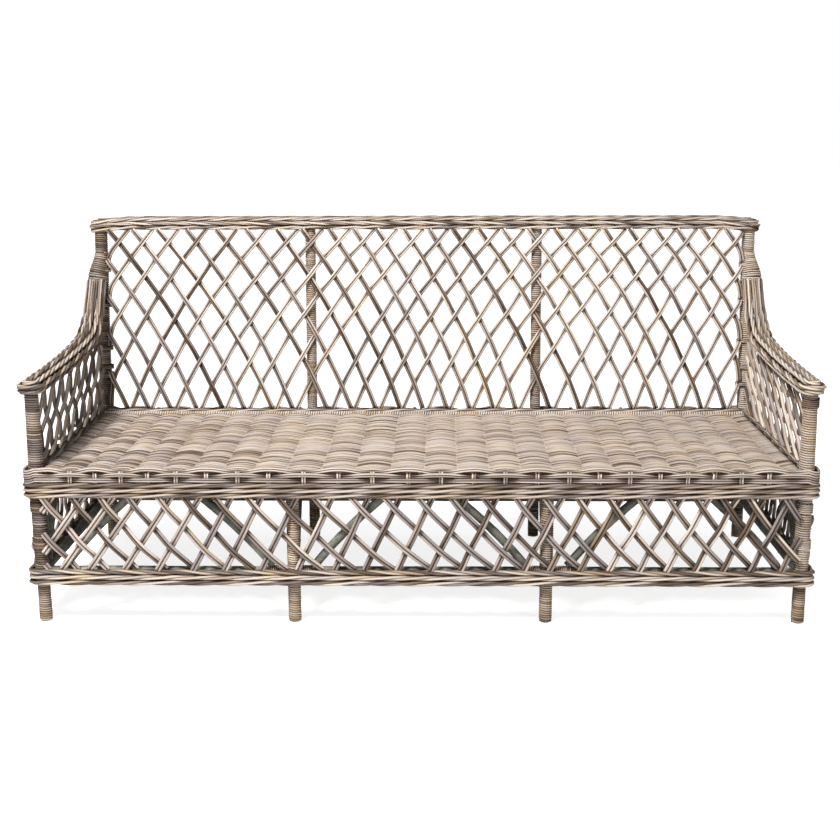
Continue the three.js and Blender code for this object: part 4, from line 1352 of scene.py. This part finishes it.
class SOFA_OT_borders(bpy.types.Operator):
    """Weaves the borders round the seat and the foot, with the stake ends that show in them"""

    bl_idname = "sofa.borders"
    bl_label = "Woven borders"

    def execute(self, context):
        pitch = context.scene.sofa_borders.pitch
        seat_border_wales(pitch)
        seat_border_randing()
        foot_border(pitch)
        return {"FINISHED"}


# Seat

SEAT_FRONT_Y = -0.3795
SEAT_BACK_Y = 0.2450
SEAT_HALF = 0.8965
WEAVE_Z = 0.3822
STAKE_Z = 0.3815
END_ROW_IN = 0.0125
END_ROW_Z = 0.3905

# The rows twined along the seat's back, as (y, z, painted shade)
BACK_EDGE_ROWS = (
    (0.2785, 0.3885, 0.0),
    (0.2740, 0.3790, 1.0),
    (0.2880, 0.3795, 0.6),
    (0.2990, 0.3785, 0.4),
    (0.3150, 0.3785, 0.4),
)


def seat_weave(settings):
    """The woven seat, in three pieces from the front to the back."""
    rows = int((SEAT_BACK_Y - SEAT_FRONT_Y) / settings.row_spacing)
    share = (rows + 2) // 3
    for i, part in enumerate(("front", "middle", "back")):
        first = i * share
        odd = first % 2
        y = SEAT_FRONT_Y + first * settings.row_spacing
        counts = [-1.1 + odd, *[k + odd for k in range(len(STAKES))], len(STAKES) - 0.05 + odd]
        guides = Guides()
        points = [Vector((x, y, WEAVE_Z)) for x in (-SEAT_HALF, *STAKES, SEAT_HALF)]
        guides.add(points, tint=0.81, start=counts)
        sizes = {
            "Rows": min(share, rows - first),
            "Row spacing": settings.row_spacing,
            "Rise": settings.rise,
            "Width": settings.strand_width,
            "Thickness": settings.strand_thickness,
            "Step": STAKE_SPACING / 7,
            "Sway": 0.0016,
            "Sides": 5,
            "Seed": 111 + i,
            "Material": finish("rattan_weave"),
        }
        name = "seat_weave_" + part
        settle(name, [grown(name, guides, rib_weave_tree(), sizes)], "weave", "seat_weave")


def seat_stakes():
    """The pairs of stakes that the seat is woven over."""
    stakes = Guides()
    for x in STAKES:
        stakes.add([Vector((x, y, STAKE_Z)) for y in (-0.386, -0.2, 0.0, 0.25)], tint=0.45)
    pairs = canes("seat_stake_pairs", stakes, 0.003, 121, sway=0.0)
    settle("seat_stake_pairs", [pairs], "cane", "seat_stakes")


def seat_edges():
    """The twined rows along the seat's ends and its back."""
    edges = Guides()
    for side in SIDES.values():
        x = side * (POST_X - END_ROW_IN)
        edges.add([Vector((x, y, END_ROW_Z)) for y in spaced(-0.34, 0.30, 40)], tint=0.6)
    for y, z, dip in BACK_EDGE_ROWS:
        edges.add(level_line(-0.9, 0.9, y, z, 90), tint=0.62, dip=dip)
    twining = twist("seat_edge_twining", edges, 2, 131, -0.17, radius=0.0031, out=0.003, up=0.0036)
    settle("seat_edge_twining", [twining], "weave")


class SOFA_OT_seat(bpy.types.Operator):
    """Weaves the seat over pairs of stakes, with the twined rows along its ends and its back"""

    bl_idname = "sofa.seat"
    bl_label = "Woven seat"

    def execute(self, context):
        seat_weave(context.scene.sofa_seat)
        seat_stakes()
        seat_edges()
        return {"FINISHED"}


# Crest and arms

CREST_Y = BACK_Y + 0.046
CREST_END = 0.9455
CREST_PITCH = 0.17
CORE_END = 0.922
CORE_DROOP = 0.0115
DROOP_START = 0.82
DROOP_LENGTH = 0.13

# Each row of the crest: half its depth, its height, the way it twists, its tint, and how much its ends are
# shorter and droop
CREST_ROWS = (
    (0.0205, 0.9015, -1, 0.40, 0.004, 0.0100),
    (0.0218, 0.9137, 1, 0.50, 0.0, 0.0105),
    (0.0172, 0.9250, -1, 0.60, 0.005, 0.0125),
    (0.0058, 0.9268, 1, 0.65, 0.008, 0.0120),
    (0.0095, 0.9015, 1, 0.30, 0.012, 0.0060),
)


def drooped(x, y, z, droop):
    """A point of the crest, which sinks towards its ends."""
    return Vector((x, y, z - droop * max(0.0, (abs(x) - DROOP_START) / DROOP_LENGTH) ** 1.5))


class SOFA_OT_crest(bpy.types.Operator):
    """Weaves the rolled border over the back"""

    bl_idname = "sofa.crest"
    bl_label = "Crest"

    def execute(self, context):
        parts = []
        for i, (half, z, way, tint, short, droop) in enumerate(CREST_ROWS):
            end = CREST_END - half - short
            flat = []
            for side in (1, -1):
                for angle in spaced(-side * math.pi / 2, math.pi - side * math.pi / 2, 10):
                    flat.append((side * end + half * math.cos(angle), CREST_Y + half * math.sin(angle)))
                flat += [(x, CREST_Y + side * half) for x in spaced(side * end, -side * end, 40)[1:-1]]
            line = [drooped(x, y, z, droop) for x, y in flat]
            guides = Guides()
            guides.add(line, closed=True, tint=tint, start=0.31 * i)
            pitch = closing_pitch(line, way * CREST_PITCH)
            parts.append(twist(f"crest_wale_{i}", guides, 3, 141 + i, pitch, up=0.0028))
        core = Guides()
        # The core's strands carry full painted shade, so that the inside of the roll shows dark
        for z in (0.9070, 0.9190):
            core.add([drooped(x, CREST_Y, z, CORE_DROOP) for x in spaced(-CORE_END, CORE_END, 60)], dip=1.0)
        parts.append(twist("crest_core", core, 3, 148, 0.2, radius=0.0055, out=0.008, up=0.003))
        settle("crest_rolled_border", parts, "weave", "crest_braid")
        return {"FINISHED"}


# Each row of an arm: its place aside and above the middle, how far it goes in front of the post, and its tint
ARM_ROWS = (
    (0.0268, -0.0010, 0.0305, 0.60),
    (0.0148, 0.0078, 0.0215, 0.75),
    (0.0, 0.0112, 0.0120, 0.80),
    (0.0240, -0.0120, 0.0290, 0.50),
    (0.0110, -0.0130, 0.0180, 0.30),
)
# How far each arm's rows are lowered or raised in tint: painted shade on the left arm, painted light on the
# right
ARM_PAINTED_LIGHT_AND_SHADE = {"left": -0.36, "right": 0.24}
ARM_TWIST_PITCH = 0.13
RESTING_Z = 0.66
RESTING_RISE = 0.05
TIP_STEPS = 16

# How much slimmer an arm's steep end is across and over its rows, and how far it stands further out there
SLIMMER_ACROSS = 0.15
SLIMMER_OVER = 0.37
STEEP_OUT = 0.0085
FACING_LIFT = 0.012


def arm_row(side, aside, above, reach, stations):
    """A line up the inner side of an arm's row, round its tip and back along the outer side.

    Each of its points comes with the way out of the arm."""
    lift = Vector((0.0, 0.0, FACING_LIFT))
    rise = above + lift.z
    across = Vector((side, 0.0, 0.0))
    inner, outer = [], []
    befores, afters = [stations[0], *stations], [*stations[1:], stations[-1]]
    for before, station, after in zip(befores, stations, afters):
        y, z, ease = station
        wide, thick = 1 - SLIMMER_ACROSS * ease, 1 - SLIMMER_OVER * ease
        up = Vector((1.0, 0.0, 0.0)).cross(Vector((0.0, after.x - before.x, after.y - before.y)).normalized())
        middle = Vector((side * (POST_X + STEEP_OUT * ease), y, z)) + up * above * thick
        inner.append((middle - across * (aside * wide), up * rise - across * aside))
        outer.append((middle + across * (aside * wide), up * rise + across * aside))
    tip = []
    for i in range(1, TIP_STEPS):
        angle = math.pi * i / TIP_STEPS
        outward = Vector((-side * aside * math.cos(angle), -reach * math.sin(angle), above))
        tip.append((Vector((side * POST_X, FRONT_Y, ARM_FRONT_Z)) + outward, outward + lift))
    if aside > 0:
        return inner[::-1] + tip + outer
    return [tip[TIP_STEPS // 2 - 1]] + outer


def resting_lengths(points):
    """How much of the way to each point goes without a twist: more and more of it above a height."""
    slack = [0.0]
    for a, b in zip(points, points[1:]):
        share = min(1.0, max(0.0, (a.z + b.z) / 2 - RESTING_Z) / RESTING_RISE)
        slack.append(slack[-1] + (b - a).length * share)
    return slack


class SOFA_OT_arms(bpy.types.Operator):
    """Weaves the rolled arms, whose strands run up into the windings on the back posts"""

    bl_idname = "sofa.arms"
    bl_label = "Rolled arms"

    def execute(self, context):
        stations = arm_stations()
        for hand, side in SIDES.items():
            parts = []
            for i, (aside, above, reach, tint) in enumerate(ARM_ROWS):
                line = arm_row(side, aside, above, reach, stations)
                points = [point for point, _ in line]
                runs = [b - a for a, b in zip([points[0], *points], [*points[1:], points[-1]])]
                facing = [way.cross(run).normalized() for (_, way), run in zip(line, runs)]
                slack = resting_lengths(points)
                guides = Guides()
                guides.add(points, facing, tint=tint + ARM_PAINTED_LIGHT_AND_SHADE[hand], slack=slack, start=0.23 * i)
                look = {"radius": 0.0034, "out": 0.0036, "up": 0.0034, "sway": 0.003}
                parts.append(twist(f"{hand}_arm_row_{i}", guides, 3, 151 + i, side * ARM_TWIST_PITCH, **look))
            settle(f"{hand}_arm_rolled", parts, "weave", f"{hand}_arm_braid")
        return {"FINISHED"}


# Hidden frame and stage

HIDDEN_POLES = (
    "seat_front_rail", "seat_left_rail", "seat_right_rail", "top_rail",
    "seat_bearer_left", "seat_bearer_middle", "seat_bearer_right", "left_arm_rail", "right_arm_rail",
)


class SOFA_OT_hidden_frame(bpy.types.Operator):
    """Gives the poles that stay as the model has them their bare pole finish"""

    bl_idname = "sofa.hidden_frame"
    bl_label = "Inner frame"

    def execute(self, context):
        for name in HIDDEN_POLES:
            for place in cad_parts[name].material_slots:
                place.material = finish("bare_pole")
        return {"FINISHED"}


# The camera of the photograph, as it was fitted: its place, its angles and its focal length in pixels
EYE = (0.0544, -3.4415, 1.1945)
YAW, PITCH, ROLL = 0.0172, 0.2203, -0.0029
FOCAL_PIXELS = 1335.8656
PHOTO_PIXELS = 840.0
SENSOR_WIDTH = 36.0
LIT_POINT = Vector((0.0, 0.0, 0.4))
WORLD_LIGHT = 0.27
FLOOR_HALF = 30

# Each lamp: its place, its size and its power
LAMPS = {"key": ((-1.3, -2.2, 3.9), 1.0, 270.0), "fill": ((2.4, -3.0, 1.8), 1.8, 22.0)}


def pale_floor():
    """A floor that gets white away from the sofa."""
    look = Finish("pale_floor")
    seen = look.add("ShaderNodeLightPath", out="Is Camera Ray")
    distance = look.add("ShaderNodeVectorMath", [look.place()], out="Value", operation="LENGTH")
    fade = {"Value": distance, "From Min": 0.9, "From Max": 2.6, "To Min": 0.80, "To Max": 1.0}
    brightness = seen * look.add("ShaderNodeMapRange", fade)
    diffuse = look.add("ShaderNodeBsdfDiffuse", {"Color": (0.80, 0.80, 0.80)})
    glow = look.add("ShaderNodeEmission", {"Color": WHITE, "Strength": brightness})
    return look.shown(look.add("ShaderNodeAddShader", [diffuse, glow]))


def make_floor(scene):
    mesh = bpy.data.meshes.new("floor")
    corners = [(x * FLOOR_HALF, y * FLOOR_HALF, 0) for x, y in ((-1, -1), (1, -1), (1, 1), (-1, 1))]
    mesh.from_pydata(corners, [], [(0, 1, 2, 3)])
    mesh.materials.append(pale_floor())
    floor = bpy.data.objects.new("floor", mesh)
    scene.collection.objects.link(floor)


def make_world(scene):
    """A soft grey light all round, that the camera sees as white."""
    world = bpy.data.worlds.new("studio")
    scene.world = world
    world.use_nodes = True
    sky = Nodes(world.node_tree)
    sky.nodes.clear()
    seen = sky.add("ShaderNodeLightPath", out="Is Camera Ray")
    dim = sky.add("ShaderNodeBackground", {"Color": WHITE, "Strength": WORLD_LIGHT})
    white = sky.add("ShaderNodeBackground", {"Color": WHITE, "Strength": 1.0})
    sky.add("ShaderNodeOutputWorld", [sky.add("ShaderNodeMixShader", [seen, dim, white])])


def soft_light(scene, name, place, size, power):
    lamp = bpy.data.lights.new(name, "AREA")
    lamp.size = size
    lamp.energy = power
    made = bpy.data.objects.new(name, lamp)
    made.location = place
    made.rotation_euler = (LIT_POINT - Vector(place)).to_track_quat("-Z", "Y").to_euler()
    scene.collection.objects.link(made)


def make_camera(scene):
    camera = bpy.data.cameras.new("camera")
    camera.sensor_fit = "HORIZONTAL"
    camera.sensor_width = SENSOR_WIDTH
    camera.lens = SENSOR_WIDTH * FOCAL_PIXELS / PHOTO_PIXELS
    camera.clip_end = 100.0
    forward = Vector((-math.sin(YAW) * math.cos(PITCH), math.cos(YAW) * math.cos(PITCH), -math.sin(PITCH)))
    right = forward.cross(Vector(UPWARD)).normalized()
    up = right.cross(forward)
    turned_right = math.cos(ROLL) * right + math.sin(ROLL) * up
    turned_up = -math.sin(ROLL) * right + math.cos(ROLL) * up
    rows = [list(row) for row in zip(turned_right, turned_up, -forward, EYE)]
    eye = bpy.data.objects.new("camera", camera)
    eye.matrix_world = Matrix(rows + [[0, 0, 0, 1]])
    scene.collection.objects.link(eye)
    scene.camera = eye


class SOFA_OT_stage(bpy.types.Operator):
    """Sets the floor, the soft light and the camera"""

    bl_idname = "sofa.stage"
    bl_label = "Stage"

    def execute(self, context):
        scene = context.scene
        make_floor(scene)
        make_world(scene)
        for name, (place, size, power) in LAMPS.items():
            soft_light(scene, name, place, size, power)
        make_camera(scene)
        scene.view_settings.view_transform = "Standard"
        return {"FINISHED"}


OPERATORS = (
    SOFA_OT_stage, SOFA_OT_posts, SOFA_OT_poles, SOFA_OT_back_lattice, SOFA_OT_skirt_lattices,
    SOFA_OT_arm_lattices, SOFA_OT_borders, SOFA_OT_seat, SOFA_OT_crest, SOFA_OT_arms, SOFA_OT_hidden_frame,
)
GROUPS = {
    "sofa_winding": SofaWindingSizes, "sofa_poles": SofaPoleSizes, "sofa_lattices": SofaLatticeSizes,
    "sofa_borders": SofaBorderSizes, "sofa_seat": SofaSeatSizes, "sofa_colours": SofaColours,
}


class SOFA_PT_panel(bpy.types.Panel):
    """Lists the sofa's pieces, sizes and colours"""

    bl_idname = "SOFA_PT_panel"
    bl_label = "Rattan Sofa"
    bl_space_type = "VIEW_3D"
    bl_region_type = "UI"
    bl_category = "Rattan Sofa"

    def draw(self, context):
        for operator in OPERATORS:
            self.layout.operator(operator.bl_idname)
        for name, group in GROUPS.items():
            box = self.layout.box()
            box.label(text=group.__doc__)
            for field in group.__annotations__:
                box.prop(getattr(context.scene, name), field)


def register():
    for kind in (*GROUPS.values(), *OPERATORS, SOFA_PT_panel):
        bpy.utils.register_class(kind)
    for name, group in GROUPS.items():
        setattr(bpy.types.Scene, name, PointerProperty(type=group))


def unregister():
    for name in GROUPS:
        delattr(bpy.types.Scene, name)
    for kind in reversed((*GROUPS.values(), *OPERATORS, SOFA_PT_panel)):
        bpy.utils.unregister_class(kind)


def main():
    register()
    for operator in OPERATORS:
        family, name = operator.bl_idname.split(".")
        getattr(getattr(bpy.ops, family), name)()


if __name__ == "__main__":
    main()
